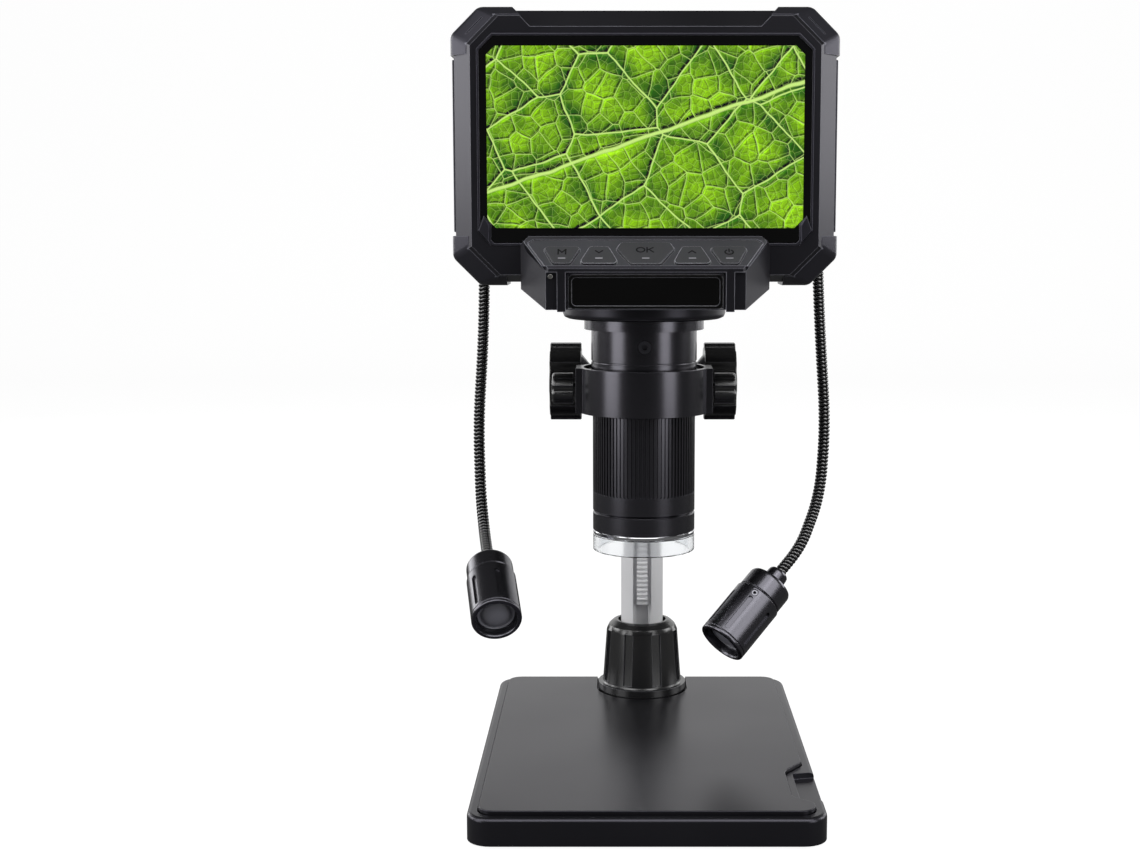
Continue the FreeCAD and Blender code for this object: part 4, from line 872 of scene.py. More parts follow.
def lit_picture(name):
    # Backlit LCD showing a magnified leaf: nets of veins 21, 6.4 and 2.2 mm apart on both sides of a
    # midrib. Light from the upper left models the veins; the fields are dark beside them, and bright and
    # grainy inside.
    material, coords = start_finish(name)
    flat = add_node(material, "ShaderNodeMapping", {"Vector": coords, "Rotation": (-math.pi / 2, 0.0, 0.0),
                                                    "Location": (0.0, -PICTURE_CENTRE_Z, 0.0)}).outputs[0]
    wander = add_node(material, "ShaderNodeTexNoise", {"Vector": flat, "Scale": 1 / 9, "Detail": 1.5},
                      noise_dimensions="2D")
    centred = add_node(material, "ShaderNodeVectorMath", {0: wander.outputs["Color"], 1: (0.5, 0.5, 0.5)},
                       operation="SUBTRACT")
    views = []
    for shift, spread in ((0.0, 1.0), (-RELIEF_SHIFT, RELIEF_SPREAD), (RELIEF_SHIFT, RELIEF_SPREAD)):
        moved = add_node(material, "ShaderNodeMapping", {"Vector": flat, "Location": (shift, -shift, 0.0)})
        bent = add_node(material, "ShaderNodeVectorMath",
                        {0: centred.outputs[0], 1: (VEIN_WANDER, VEIN_WANDER, 0.0), 2: moved.outputs[0]},
                        operation="MULTIPLY_ADD")
        views.append(leaf_veins(material, bent.outputs[0], spread))
    veins, lit, shaded = views
    inside = leaf_net(material, bent.outputs[0], VEIN_NETS[0][0])
    blotches = add_node(material, "ShaderNodeTexNoise", {"Vector": flat, "Scale": 1 / 9, "Detail": 5.0,
                                                         "Roughness": 0.62}, noise_dimensions="2D")
    level = add_node(material, "ShaderNodeMath", {0: inside, 1: 1.1, 2: blotches.outputs["Fac"]},
                     operation="MULTIPLY_ADD")
    bright = add_node(material, "ShaderNodeMapRange", {"Value": level.outputs[0], "From Min": 0.44,
                                                       "From Max": 1.0})
    leaf = add_node(material, "ShaderNodeMix", {"Factor": bright.outputs["Result"], 6: palette().leaf_dark,
                                                7: palette().leaf}, data_type="RGBA")
    grain = add_node(material, "ShaderNodeTexNoise", {"Vector": flat, "Scale": 2.2, "Detail": 2.0},
                     noise_dimensions="2D")
    slope = add_node(material, "ShaderNodeMath", {0: lit, 1: shaded}, operation="SUBTRACT")
    relief = add_node(material, "ShaderNodeMath", {0: slope.outputs[0], 1: 1.0, 2: 0.56},
                      operation="MULTIPLY_ADD")
    speck = add_node(material, "ShaderNodeMath", {0: grain.outputs["Fac"], 1: 0.7, 2: relief.outputs[0]},
                     operation="MULTIPLY_ADD")
    modelled = add_node(material, "ShaderNodeMix", {"Factor": 1.0, 6: leaf.outputs[2], 7: speck.outputs[0]},
                        data_type="RGBA", blend_type="MULTIPLY")
    picture = add_node(material, "ShaderNodeMix", {"Factor": veins, 6: modelled.outputs[2],
                                                   7: palette().vein}, data_type="RGBA")
    # the panel is dim beside studio lamps: it shows to the eye and through its glass, and lights nothing
    # else
    path = add_node(material, "ShaderNodeLightPath")
    bounces = add_node(material, "ShaderNodeMath", {0: path.outputs["Diffuse Depth"],
                                                    1: path.outputs["Glossy Depth"]}, operation="ADD")
    shown = add_node(material, "ShaderNodeMath", {0: bounces.outputs[0], 1: 0.5}, operation="LESS_THAN")
    return end_finish(material, {"Base Color": "#050505", "Roughness": 0.3,
                                 "Emission Color": picture.outputs[2],
                                 "Emission Strength": shown.outputs[0]})


def surface(make):
    # the material of a finish, made the first time that a piece asks for it
    return bpy.data.materials.get(make.__name__) or make(make.__name__)


# Stand

def rounded_plate(half, radius, low, high):
    bm = bmesh.new()
    verts = [bm.verts.new(point) for point in rectangle(half, low)]
    bm.faces.new(verts)
    round_corners(bm, bm.verts[:], radius)
    return swept_face(bm, (0, 0, high - low))


def stage_block(gap, low, high):
    # the outline of the stage plate, which steps in round the finger notch near the front
    side = BASE_HALF[0] - PLATE_INSET + gap
    end = BASE_HALF[1] - PLATE_INSET + gap
    notch = NOTCH_X + gap
    corners = [(-side, -end), (side, -end), (side, NOTCH_FRONT_Y - NOTCH_SLANT + gap),
               (notch, NOTCH_FRONT_Y + gap), (notch, NOTCH_DEEP_Y - gap), (side, NOTCH_BACK_Y - gap),
               (side, end), (-side, end)]
    reaches = [PLATE_CORNER, PLATE_CORNER, 1.2, 1.6, 2.0, 1.2, PLATE_CORNER, PLATE_CORNER]
    bm = bmesh.new()
    verts = [bm.verts.new((x, y, low)) for x, y in corners]
    bm.faces.new(verts)
    for vert, reach in zip(verts, reaches):
        round_corners(bm, [vert], reach, 5)
    return swept_face(bm, (0, 0, high - low))


def boss_clearance(radius, low, high):
    slot = box((-radius, COLUMN_Y, low), (radius, BASE_HALF[1] + 5.0, high))
    return carve(rod(radius, (0, COLUMN_Y, low), (0, COLUMN_Y, high), ROUND_STEPS), [slot], "UNION")


def on_top(z):
    return lambda edge: lowest(edge, Z) > z - 0.05


def make_base():
    body = rounded_plate(BASE_HALF, BASE_CORNER, BASE_BOTTOM, BASE_TOP)
    soften(body, BASE_CHAMFER, 4, where=on_top(BASE_TOP))
    recess = stage_block(PLATE_GAP, PLATE_FLOOR, BASE_TOP + 5.0)
    recess = carve(recess, [boss_clearance(BOSS_FLANGE_RADIUS + 0.2, PLATE_FLOOR - 1.0, BASE_TOP + 6.0)])
    inner = NOTCH_X + 2.4
    wide = BASE_HALF[0] * 2
    pocket = prism([Vector(p) for p in ((inner, NOTCH_DEEP_Y + 0.6, POCKET_FLOOR),
                                        (wide, NOTCH_DEEP_Y + 12.6, POCKET_FLOOR),
                                        (wide, NOTCH_FRONT_Y - 2.0, POCKET_FLOOR),
                                        (inner, NOTCH_FRONT_Y + 0.8, POCKET_FLOOR))], (0, 0, 8.0))
    body = carve(body, [recess, pocket])
    soften(body, 0.16, 2, 40.0)
    finish(body, "base_casting", "stand", cast_enamel, ["base_plate"])
    plate = stage_block(0.0, PLATE_FLOOR, PLATE_TOP)
    plate = carve(plate, [boss_clearance(BOSS_FLANGE_RADIUS + 0.5, 0, PLATE_TOP + 5.0)])
    soften(plate, 0.3, 3, 40.0, on_top(PLATE_TOP))
    finish(plate, "stage_top_plate", "stage", cast_enamel, ["stage_plate"])
    pad = rounded_plate((BASE_HALF[0] - PAD_INSET, BASE_HALF[1] - PAD_INSET), BASE_CORNER - PAD_INSET, 0.0,
                        PAD_THICKNESS)
    soften(pad, 0.25, 2)
    finish(pad, "foam_pad", "stand", foam_rubber, ["base_pad"])


def flute_outline(reach, height):
    # a section of the cutter for one flute, which reaches in to a given distance from the boss's axis
    return [Vector((x, y, height)) for x, y in ((reach, -1.55), (20, -1.75), (20, 1.75), (reach, 1.55))]


def make_boss():
    profile = [(COLUMN_RADIUS + CLOSE_FIT, BASE_TOP), (BOSS_FLANGE_RADIUS, BASE_TOP),
               (BOSS_FLANGE_RADIUS, BOSS_FLANGE_TOP), (14.0, BOSS_FLANGE_TOP), (13.6, 13.0), (12.3, 31.0),
               (11.5, 32.8), (10.1, 34.1), (9.1, BOSS_TOP), (8.3, BOSS_TOP), (8.3, 30.5),
               (COLUMN_RADIUS + CLOSE_FIT, 30.5)]
    body = lathe(profile)
    cutters = []
    for i in range(BOSS_FLUTES):
        cutter = loft([flute_outline(12.9, 13.5), flute_outline(11.6, 31.3)])
        cutters.append(turned(cutter, 360.0 / BOSS_FLUTES * (i + 0.5) - 90.0))
    body = carve(body, cutters)
    soften(body, 0.3, 3, 20.0)
    place(body, (0, COLUMN_Y, 0))
    finish(body, "boss_moulding", "stand", gloss_abs, ["column_boss"])


def make_column():
    body = rod(COLUMN_RADIUS, (0, COLUMN_Y, BASE_TOP), (0, COLUMN_Y, COLUMN_TOP), FINE_STEPS)
    front = COLUMN_Y - COLUMN_RADIUS
    groove = box((-GROOVE_WIDTH / 2, front - 1.0, 0), (GROOVE_WIDTH / 2, front + GROOVE_DEPTH,
                                                       COLUMN_TOP + 2.0))
    low, high = COLUMN_SLOT_ENDS
    slot = box((-COLUMN_SLOT_HALF, front - 1.0, low), (COLUMN_SLOT_HALF, front + COLUMN_SLOT_DEPTH, high))
    body = carve(body, [groove, slot])
    soften(body, 0.25, 3, 40.0)
    finish(body, "column_bar", "stand", hard_chrome, ["column"])


def make_yoke():
    profile = [(0, COLUMN_TOP), (COLUMN_RADIUS + CLOSE_FIT, COLUMN_TOP),
               (COLUMN_RADIUS + CLOSE_FIT, COLUMN_TOP - 8.0), (YOKE_RADIUS, COLUMN_TOP - 8.0), (YOKE_RADIUS, 192.0), (9.4, 193.6), (8.0, 194.9),
               (5.6, 195.7), (0, 196.0)]
    cap = lathe(profile, closed=False)
    place(cap, (0, COLUMN_Y, 0))
    arms = rod(YOKE_ARM_RADIUS, (-YOKE_HALF_WIDTH, COLUMN_Y, YOKE_Z), (YOKE_HALF_WIDTH, COLUMN_Y, YOKE_Z))
    body = carve(cap, [arms], "UNION")
    bore = ARM_RADIUS + SLIDE_FIT
    bores = [rod(bore, (side * (YOKE_HALF_WIDTH + 0.5), COLUMN_Y, YOKE_Z), (side * ARM_SEAT_X, COLUMN_Y,
                                                                            YOKE_Z)) for side in (-1, 1)]
    inlet = box((-4.5, COLUMN_Y + 6.0, 179.9), (4.5, COLUMN_Y + 12.0, 183.1))
    body = carve(body, bores + [inlet])
    soften(body, 0.35, 3, 30.0)
    finish(body, "yoke_cap", "stand", gloss_abs, ["lamp_yoke"])


# Carriage

def make_focus_block():
    w = BLOCK_HALF_WIDTH
    front = box((-w, BLOCK_FRONT_Y, BLOCK_BOTTOM), (w, COLUMN_Y, BLOCK_TOP))
    back = rod(w, (0, COLUMN_Y, BLOCK_BOTTOM), (0, COLUMN_Y, BLOCK_TOP), ROUND_STEPS)
    half = TENSION_PAD_HALF
    pad = box((-half, COLUMN_Y, PINION_Z - half), (half, BLOCK_BACK_Y + 3.0, PINION_Z + half))
    body = carve(front, [back, pad], "UNION")
    bore = rod(COLUMN_RADIUS + SLIDE_FIT, (0, COLUMN_Y, BLOCK_BOTTOM - 1.0), (0, COLUMN_Y, BLOCK_TOP + 1.0),
               ROUND_STEPS)
    reach, radius = PINION_ROOM
    pinion_room = rod(radius, (-reach, PINION_Y, PINION_Z), (reach, PINION_Y, PINION_Z))
    shaft_way = rod(SHAFT_RADIUS + 0.4, (-20, PINION_Y, PINION_Z), (20, PINION_Y, PINION_Z))
    bushes = [rod(BUSH_RADIUS, (side * (w + 1.0), PINION_Y, PINION_Z), (side * (w - BUSH_DEPTH), PINION_Y,
                                                                        PINION_Z)) for side in (-1, 1)]
    screw_way = rod(SCREW_WAY_RADIUS, (0, COLUMN_Y + 5.0, PINION_Z), (0, BLOCK_BACK_Y + 5.0, PINION_Z))
    body = carve(body, [bore, pinion_room, shaft_way, screw_way] + bushes)
    soften(body, 0.6, 3, 40.0, lambda edge: edge.calc_length() > 3.0)
    finish(body, "focus_casting", "carriage", turned_anodised, ["focus_block"])


def make_ring_holder():
    bore = LINER_RADIUS + 0.05
    ring = lathe([(bore, RING_BOTTOM), (RING_RADIUS, RING_BOTTOM), (RING_RADIUS, RING_TOP),
                  (bore, RING_TOP)], FINE_STEPS)
    deep, half = LUG_HALF
    lugs = [box((x - deep, -half, RING_BOTTOM), (x + deep, half, RING_TOP)) for x in (-LUG_X, LUG_X)]
    arm = box((-HOLDER_ARM_HALF, 15.0, RING_BOTTOM), (HOLDER_ARM_HALF, BLOCK_FRONT_Y - BARREL_Y, RING_TOP))
    body = carve(ring, lugs + [arm], "UNION")
    clear = rod(bore, (0, 0, RING_BOTTOM - 1.0), (0, 0, RING_TOP + 1.0), FINE_STEPS)
    screw_way = rod(2.05, (-25.0, 0, THUMB_Z), (25.0, 0, THUMB_Z))
    counterbores = [rod(2.9, (x, 12.0, THUMB_Z), (x, 20.9, THUMB_Z)) for x in (-HOLDER_SCREW_X,
                                                                               HOLDER_SCREW_X)]
    body = carve(body, [clear, screw_way] + counterbores)
    soften(body, 0.45, 3, 30.0)
    place(body, (0, BARREL_Y, 0))
    finish(body, "holder_ring", "carriage", turned_anodised, ["ring_holder"])
    liner = lathe([(LINER_BORE, RING_BOTTOM + 0.3), (LINER_RADIUS, RING_BOTTOM + 0.3),
                   (LINER_RADIUS, RING_TOP - 1.0), (LINER_BORE, RING_TOP - 1.0)], FINE_STEPS)
    liner = carve(liner, [box((-LINER_SPLIT_HALF, 0, RING_BOTTOM - 1.0),
                              (LINER_SPLIT_HALF, 25.0, RING_TOP + 1.0))])
    soften(liner, 0.3, 2)
    place(liner, (0, BARREL_Y, 0))
    finish(liner, "nylon_liner", "liner", black_nylon, ["ring_liner"])


def knob_shape():
    # lobed grip with a dished end, on a cone and a sleeve; the shape points along +Z
    outline = lobed_outline(KNOB_RADIUS, KNOB_LOBES, 3.6, 15.2)
    grip = prism([Vector((x, y, KNOB_FACE)) for x, y in outline], (0, 0, KNOB_LENGTH))
    end = KNOB_FACE + KNOB_LENGTH
    dish = rod(KNOB_DISH_RADIUS, (0, 0, end - 0.8), (0, 0, end + 1.0), 64)
    grip = carve(grip, [dish])
    soften(grip, 0.8, 4, 50.0, lambda edge: climb(edge) < 0.01)
    stem = lathe([(SHAFT_RADIUS, 13.3), (4.6, 13.3), (4.6, 17.1), (5.0, 17.1), (9.4, 20.7),
                  (SHAFT_RADIUS, 20.7)], 64)
    soften(stem, 0.2, 2)
    return merged([grip, stem])


def make_knobs():
    for name, side in (("right", 1), ("left", -1)):
        knob = place(knob_shape(), (0, PINION_Y, PINION_Z), (side, 0, 0))
        finish(knob, "knob_" + name, "focus_knobs", gloss_abs, ["focus_knob_" + name],
               TURNED)
        outline = lobed_outline(THUMB_RADIUS, THUMB_LOBES, 1.7, 5.9, 4)
        grip = prism([Vector((x, y, THUMB_FACE)) for x, y in outline], (0, 0, THUMB_LENGTH))
        soften(grip, 0.9, 4, 50.0, lambda edge: lowest(edge, Z) > THUMB_FACE + THUMB_LENGTH - 0.2)
        soften(grip, 0.2, 2, 50.0, lambda edge: highest(edge, Z) < THUMB_FACE + 0.1)
        shank = rod(THUMB_SHANK_RADIUS, (0, 0, THUMB_FACE - 1.9), (0, 0, THUMB_FACE + 0.1), SMALL_STEPS)
        screw = place(merged([grip, shank]), (0, BARREL_Y, THUMB_Z), (side, 0, 0))
        finish(screw, "thumb_grip_" + name, "thumbscrew_" + name, gloss_abs, ["thumbscrew_" + name],
               TURNED)


# Barrel and lens

def make_barrel():
    profile = [(TUBE_BORE, FOCUS_RING_BOTTOM), (INNER_TUBE_RADIUS, FOCUS_RING_BOTTOM),
               (INNER_TUBE_RADIUS, SLEEVE_TOP + 0.3), (TUBE_RADIUS, SLEEVE_TOP + 0.3),
               (TUBE_RADIUS, WITNESS_LINE_Z - 0.3), (TUBE_RADIUS - 0.35, WITNESS_LINE_Z - 0.25),
               (TUBE_RADIUS - 0.35, WITNESS_LINE_Z + 0.25), (TUBE_RADIUS, WITNESS_LINE_Z + 0.3),
               (TUBE_RADIUS, FLANGE_BOTTOM), (FLANGE_RADIUS, FLANGE_BOTTOM), (FLANGE_RADIUS, FLANGE_TOP),
               (TUBE_BORE, FLANGE_TOP)]
    tube = lathe(profile, FINE_STEPS)
    hole = rod(1.95, (0, -20.0, SET_SCREW_Z), (0, -13.0, SET_SCREW_Z), SMALL_STEPS)
    tube = carve(tube, [hole])
    soften(tube, 0.22, 2, 40.0)
    place(tube, (0, BARREL_Y, 0))
    finish(tube, "barrel_turning", "microscope", turned_anodised, ["barrel_tube"])
    nose = lathe([(NOSE_BORE, TRIM_TOP), (16.05, TRIM_TOP), (NOSE_RADIUS, TRIM_TOP + 0.25),
                  (NOSE_RADIUS, NOSE_TOP - 0.4), (15.9, NOSE_TOP), (NOSE_BORE, NOSE_TOP)], FINE_STEPS)
    place(nose, (0, BARREL_Y, 0))
    finish(nose, "nose_turning", "microscope", turned_anodised, ["nose_ring"], TURNED)
    trim = lathe([(TRIM_BORE, GUARD_TOP), (15.8, GUARD_TOP), (16.15, GUARD_TOP + 0.3),
                  (NOSE_RADIUS, TRIM_TOP - 0.25), (16.1, TRIM_TOP), (TRIM_BORE, TRIM_TOP)], FINE_STEPS)
    place(trim, (0, BARREL_Y, 0))
    finish(trim, "trim_band", "microscope", bright_trim, ["trim_ring"], TURNED)
    guard = lathe([(GUARD_RADIUS - GUARD_WALL, GUARD_BOTTOM), (GUARD_RADIUS, GUARD_BOTTOM),
                   (GUARD_RADIUS, GUARD_TOP), (GUARD_RADIUS - GUARD_WALL, GUARD_TOP)], FINE_STEPS)
    soften(guard, 0.3, 3, 40.0)
    place(guard, (0, BARREL_Y, 0))
    finish(guard, "guard_collar", "microscope", guard_acrylic, ["guard_ring"], TURNED)
    lens = lathe([(0, 91.0), (4.0, 90.6), (7.5, 90.1), (9.0, 90.0), (9.0, 94.0), (7.4, 94.7), (5.0, 95.4),
                  (2.6, 95.7), (0, 95.8)], closed=False)
    place(lens, (0, BARREL_Y, 0))
    finish(lens, "front_lens", "lens_cell", coated_glass, ["objective_lens"], 50.0)


def make_focus_ring():
    sizes = bpy.context.scene.microscope_sizes
    depth = sizes.rib_depth / MM
    bore = INNER_TUBE_RADIUS + SLIDE_FIT

    def ring(radius, height, sunk=0.0):
        points = []
        for i in range(sizes.rib_count):
            middle = 2 * math.pi * i / sizes.rib_count
            for turn, inward in ((-0.26, 0.0), (-0.19, sunk), (0.19, sunk), (0.26, 0.0)):
                angle = middle + turn * 2 * math.pi / sizes.rib_count
                reach = radius - inward
                points.append(Vector((reach * math.cos(angle), BARREL_Y + reach * math.sin(angle), height)))
        return points

    outer = FOCUS_RING_RADIUS
    rings = [ring(bore, FOCUS_RING_BOTTOM), ring(outer - 0.35, FOCUS_RING_BOTTOM),
             ring(outer, FOCUS_RING_BOTTOM + 0.35), ring(outer, RIB_BOTTOM - 0.05),
             ring(outer, RIB_BOTTOM + 0.15, depth), ring(outer, SLEEVE_TOP - 0.45, depth),
             ring(outer - 0.35, SLEEVE_TOP, 0.0), ring(bore, SLEEVE_TOP)]
    finish(loft(rings, ring=True), "focus_sleeve", "focus_ring", turned_anodised, ["focus_ring"],
           MOULDED)


# Head

def grown(half, by):
    return half[0] + by, half[1] + by


def head_octagon(half, cut, y):
    return octagon(half, cut, HEAD_CENTRE_Z, y)


def shell_outlines(proud):
    outer = grown(SHELL_HALF, proud)
    cut = SHELL_CUT + 0.4 * proud
    inner = grown(outer, -REAR_INSET)
    return {
        "face": head_octagon(FACE_HALF, FACE_CUT, FACE_Y),
        "front": head_octagon(outer, cut, BEVEL_BACK_Y),
        "rear": head_octagon(outer, cut, REAR_BEVEL_Y),
        "back": head_octagon(inner, SHELL_CUT, REAR_Y),
    }


def top_recess():
    # the long sloping recess along the top, between the slanted ends of the bumpers
    top = HEAD_CENTRE_Z + SHELL_HALF[1]
    floor = RECESS_FLOOR_Z
    side = [(FACE_Y - 2.0, floor), (FACE_Y + 0.4, floor), (FACE_Y + 1.2, floor + 0.7),
            (BEVEL_BACK_Y + 1.2, top + 0.1), (FACE_Y - 2.0, top + 0.1)]
    wedge = prism([Vector((-60, y, z)) for y, z in side], (120, 0, 0))
    narrow, wide = RECESS_HALF_WIDTHS
    front = [(-wide, top + 2.0), (-narrow, floor - 0.1), (narrow, floor - 0.1), (wide, top + 2.0)]
    ends = prism(facing_front(front, FACE_Y - 3.0), (0, SPLIT_Y - FACE_Y + 3.0, 0))
    return carve(wedge, [ends], "INTERSECT")


def make_bezel():
    outlines = shell_outlines(0.0)
    split = head_octagon(SHELL_HALF, SHELL_CUT, SPLIT_Y)
    body = loft([split, outlines["front"], outlines["face"]])
    cavity = prism(head_octagon(CAVITY_HALF, CAVITY_CUT, FACE_Y + WALL), (0, 30.0, 0))
    seat = prism(octagon(grown(GLASS_HALF, GLASS_FIT), GLASS_CUT, GLASS_CENTRE_Z, FACE_Y - 1.0),
                 (0, GLASS_THICKNESS + 1.0, 0))
    window = prism(octagon(WINDOW_HALF, 0.5, PICTURE_CENTRE_Z, FACE_Y - 1.0), (0, 20.0, 0))
    body = carve(body, [cavity, seat, window, top_recess()])
    soften(body, 0.3, 2, 20.0, lambda edge: edge.calc_length() > 2.0 and highest(edge, Y) < SPLIT_Y - 0.1)
    finish(body, "bezel_moulding", "microscope", satin_abs, ["front_bezel"], MOULDED)
    lip = octagon(grown(GLASS_HALF, 0.8), GLASS_CUT + 0.3, GLASS_CENTRE_Z, FACE_Y - 0.3)
    opening = octagon(grown(GLASS_HALF, GLASS_FIT), GLASS_CUT, GLASS_CENTRE_Z, FACE_Y - 1.0)
    frame = carve(prism(lip, (0, 0.4, 0)), [prism(opening, (0, 3.0, 0))])
    soften(frame, 0.25, 2, 40.0)
    finish(frame, "glass_frame", "microscope", bumper_rubber, (), MOULDED)
    claw = [(-48.6, 174.3), (-50.6, 169.6), (-46.4, 164.9), (-46.2, 171.6)]
    tip = [(-48.5, 173.6), (-50.0, 169.7), (-47.2, 166.6), (-47.0, 171.2)]
    claws = loft([facing_front(claw, FACE_Y + 0.05), facing_front(tip, FACE_Y - 0.8)])
    soften(claws, 0.15, 2, 20.0)
    finish(merged([claws, mirrored(claws)]), "screen_claws", "microscope", bumper_rubber, (),
           MOULDED)


def screw_places():
    across, up = SHELL_SCREW_HALF
    return [(x, HEAD_CENTRE_Z + z) for x in (-across, across) for z in (-up, up)]


def make_rear_shell():
    outlines = shell_outlines(0.0)
    split = head_octagon(SHELL_HALF, SHELL_CUT, SPLIT_Y)
    body = loft([split, outlines["rear"], outlines["back"]])
    hump = lathe([(0, COLLAR_TOP), (COLLAR_RADIUS, COLLAR_TOP), (COLLAR_RADIUS, HUMP_TOP - 4.0),
                  (COLLAR_RADIUS - 4.0, HUMP_TOP), (0, HUMP_TOP)], closed=False)
    place(hump, (0, BARREL_Y, 0))
    hump = carve(hump, [box((-60, SPLIT_Y, 100), (60, 80, 260))], "INTERSECT")
    body = carve(body, [hump], "UNION")
    cavity = prism(head_octagon(CAVITY_HALF, CAVITY_CUT, SPLIT_Y - 1.0), (0, REAR_Y - WALL - SPLIT_Y + 1.0,
                                                                          0))
    room = rod(COLLAR_RADIUS - WALL, (0, BARREL_Y, COLLAR_TOP - 1.0), (0, BARREL_Y, HUMP_TOP - 6.2),
               ROUND_STEPS)
    room = carve(room, [box((-60, SPLIT_Y - 1.0, 100), (60, 80, 260))], "INTERSECT")
    wells = [rod(2.3, (x, REAR_Y - SHELL_SCREW_SUNK, z), (x, REAR_Y + 3.0, z), SMALL_STEPS) for x,
             z in screw_places()]
    vents = []
    for i in range(VENT_COUNT):
        z = HEAD_CENTRE_Z + VENT_TOP - VENT_PITCH * i
        wide, high = VENT_HALF
        vents.append(box((-wide, REAR_Y - 1.2, z - high), (wide, REAR_Y + 1.0, z + high)))
    body = carve(body, [cavity, room] + wells + vents)
    soften(body, 0.3, 2, 20.0, lambda edge: edge.calc_length() > 1.0 and lowest(edge, Y) > SPLIT_Y + 0.1)
    finish(body, "rear_moulding", "microscope", satin_abs, ["rear_shell"], MOULDED)
    screws = []
    for x, z in screw_places():
        head = lathe([(0, 0), (1.9, 0), (1.9, 0.5), (1.5, 0.75), (0, 0.8)], SMALL_STEPS, closed=False)
        cross = box((-1.2, -0.22, 0.3), (1.2, 0.22, 1.2))
        head = carve(head, [cross, box((-0.22, -1.2, 0.3), (0.22, 1.2, 1.2))])
        screws.append(place(head, (x, REAR_Y - SHELL_SCREW_SUNK, z), (0, 1, 0)))
    finish(merged(screws), "shell_screws", "microscope", machine_steel, (), TURNED)


def corner_slot(up):
    # a thin slot along the middle of the left corner's sloping facet; up is 1 at the top, -1 at the bottom
    face_middle = Vector((FACE_CUT / 2 - FACE_HALF[0], FACE_Y, up * (FACE_HALF[1] - FACE_CUT / 2)))
    cut = SHELL_CUT + 0.4 * BUMPER_PROUD
    outer_middle = Vector((cut / 2 - SHELL_HALF[0] - BUMPER_PROUD, BEVEL_BACK_Y,
                           up * (SHELL_HALF[1] + BUMPER_PROUD - cut / 2)))
    along = Vector((1, 0, up)).normalized()
    across = (outer_middle - face_middle).normalized()
    normal = along.cross(across) * up
    slot = box((-3.5, -0.25, -0.35), (3.5, 0.25, 0.85))
    turn = Matrix((along, across, normal)).transposed().to_4x4()
    middle = (face_middle + outer_middle) / 2 + Vector((0, 0, HEAD_CENTRE_Z))
    bmesh.ops.transform(slot, matrix=Matrix.Translation(middle) @ turn, verts=slot.verts)
    return slot


def make_bumpers():
    sizes = bpy.context.scene.microscope_sizes
    skins = []
    for proud in (BUMPER_PROUD, 0.01):
        outlines = shell_outlines(proud)
        skins.append(loft([outlines["back"], outlines["rear"], outlines["front"], outlines["face"]]))
    soften(skins[0], 4 * sizes.edge_rounding / MM, 4, 20.0)
    skin = carve(skins[0], [skins[1]])
    skin = carve(skin, [box((-80, FACE_Y + 1.2, 100), (80, REAR_BEVEL_Y - 0.5, 260))], "INTERSECT")
    narrow, wide = RECESS_HALF_WIDTHS
    upper = [(-70, 222.0), (-30, 222.0), (-30, 229.0), (-narrow, RECESS_FLOOR_Z), (-wide, 238.0),
             (-wide, 250.0), (-70, 250.0)]
    lower = [(-70, 140.0), (-42.0, 140.0), (-42.0, 168.0), (-70, 168.0)]
    pieces = []
    for blank, up in ((skin.copy(), 1), (skin, -1)):
        extent = prism(facing_front(upper if up > 0 else lower, -20), (0, 60, 0))
        corner = carve(blank, [extent], "INTERSECT")
        corner = carve(corner, [corner_slot(up)])
        soften(corner, sizes.edge_rounding / MM, 2, 24.0, lambda edge: edge.calc_length() > 0.8)
        pieces += [mirrored(corner), corner]
    finish(merged(pieces), "corner_guards", "microscope", bumper_rubber, ["corner_bumpers"],
           MOULDED)


def make_grips():
    side = SHELL_HALF[0]
    left = box((-side - 0.7, BEVEL_BACK_Y + 1.2, 169.2), (-side, REAR_BEVEL_Y - 2.0, 220.8))
    soften(left, 0.35, 3, 40.0, lambda edge: highest(edge, X) < -side - 0.6)
    right = mirrored(left)
    left = carve(left, [box((-side - 2.0, 2.0, 196.0), (-side + 0.5, 5.2, 205.0)),
                        box((-side - 2.0, 2.8, 180.0), (-side + 0.5, 4.4, 192.0))])
    finish(merged([left, right]), "grip_strips", "microscope", bumper_rubber, ["side_grips"],
           TURNED)


def make_screen():
    # the printed border is black for its whole depth, so it and the clear pane are two pieces with a flush
    # front
    deep = (0, GLASS_THICKNESS - 0.02, 0)
    window = octagon(PICTURE_HALF, PICTURE_CUT, PICTURE_CENTRE_Z, FACE_Y)
    pane = prism(window, deep)
    finish(pane, "clear_pane", "microscope", cover_glass, (), TURNED)
    border = prism(octagon(GLASS_HALF, GLASS_CUT, GLASS_CENTRE_Z, FACE_Y), deep)
    border = carve(border, [prism([point - Vector((0, 1.0, 0)) for point in window], (0, 4.0, 0))])
    finish(border, "pane_border", "microscope", printed_border, ["screen_glass"], TURNED)
    behind = FACE_Y + GLASS_THICKNESS
    picture = box((-PICTURE_HALF[0] - 0.3, behind + 0.06, PICTURE_CENTRE_Z - PICTURE_HALF[1] - 0.5),
                  (PICTURE_HALF[0] + 0.3, FACE_Y + GLASS_THICKNESS + 3.0,
                   PICTURE_CENTRE_Z + PICTURE_HALF[1] + 0.5))
    finish(picture, "picture_panel", "microscope", lit_picture, ["lcd_panel"], TURNED)


def make_collar():
    collar = lathe([(13.5, COLLAR_BOTTOM), (COLLAR_RADIUS - 1.6, COLLAR_BOTTOM),
                    (COLLAR_RADIUS - 0.5, COLLAR_BOTTOM + 0.5), (COLLAR_RADIUS, COLLAR_BOTTOM + 1.6),
                    (COLLAR_RADIUS, COLLAR_TOP), (13.5, COLLAR_TOP)], FINE_STEPS)
    place(collar, (0, BARREL_Y, 0))
    finish(collar, "neck_ring", "microscope", satin_abs, ["neck_collar"], TURNED)


# Control chin

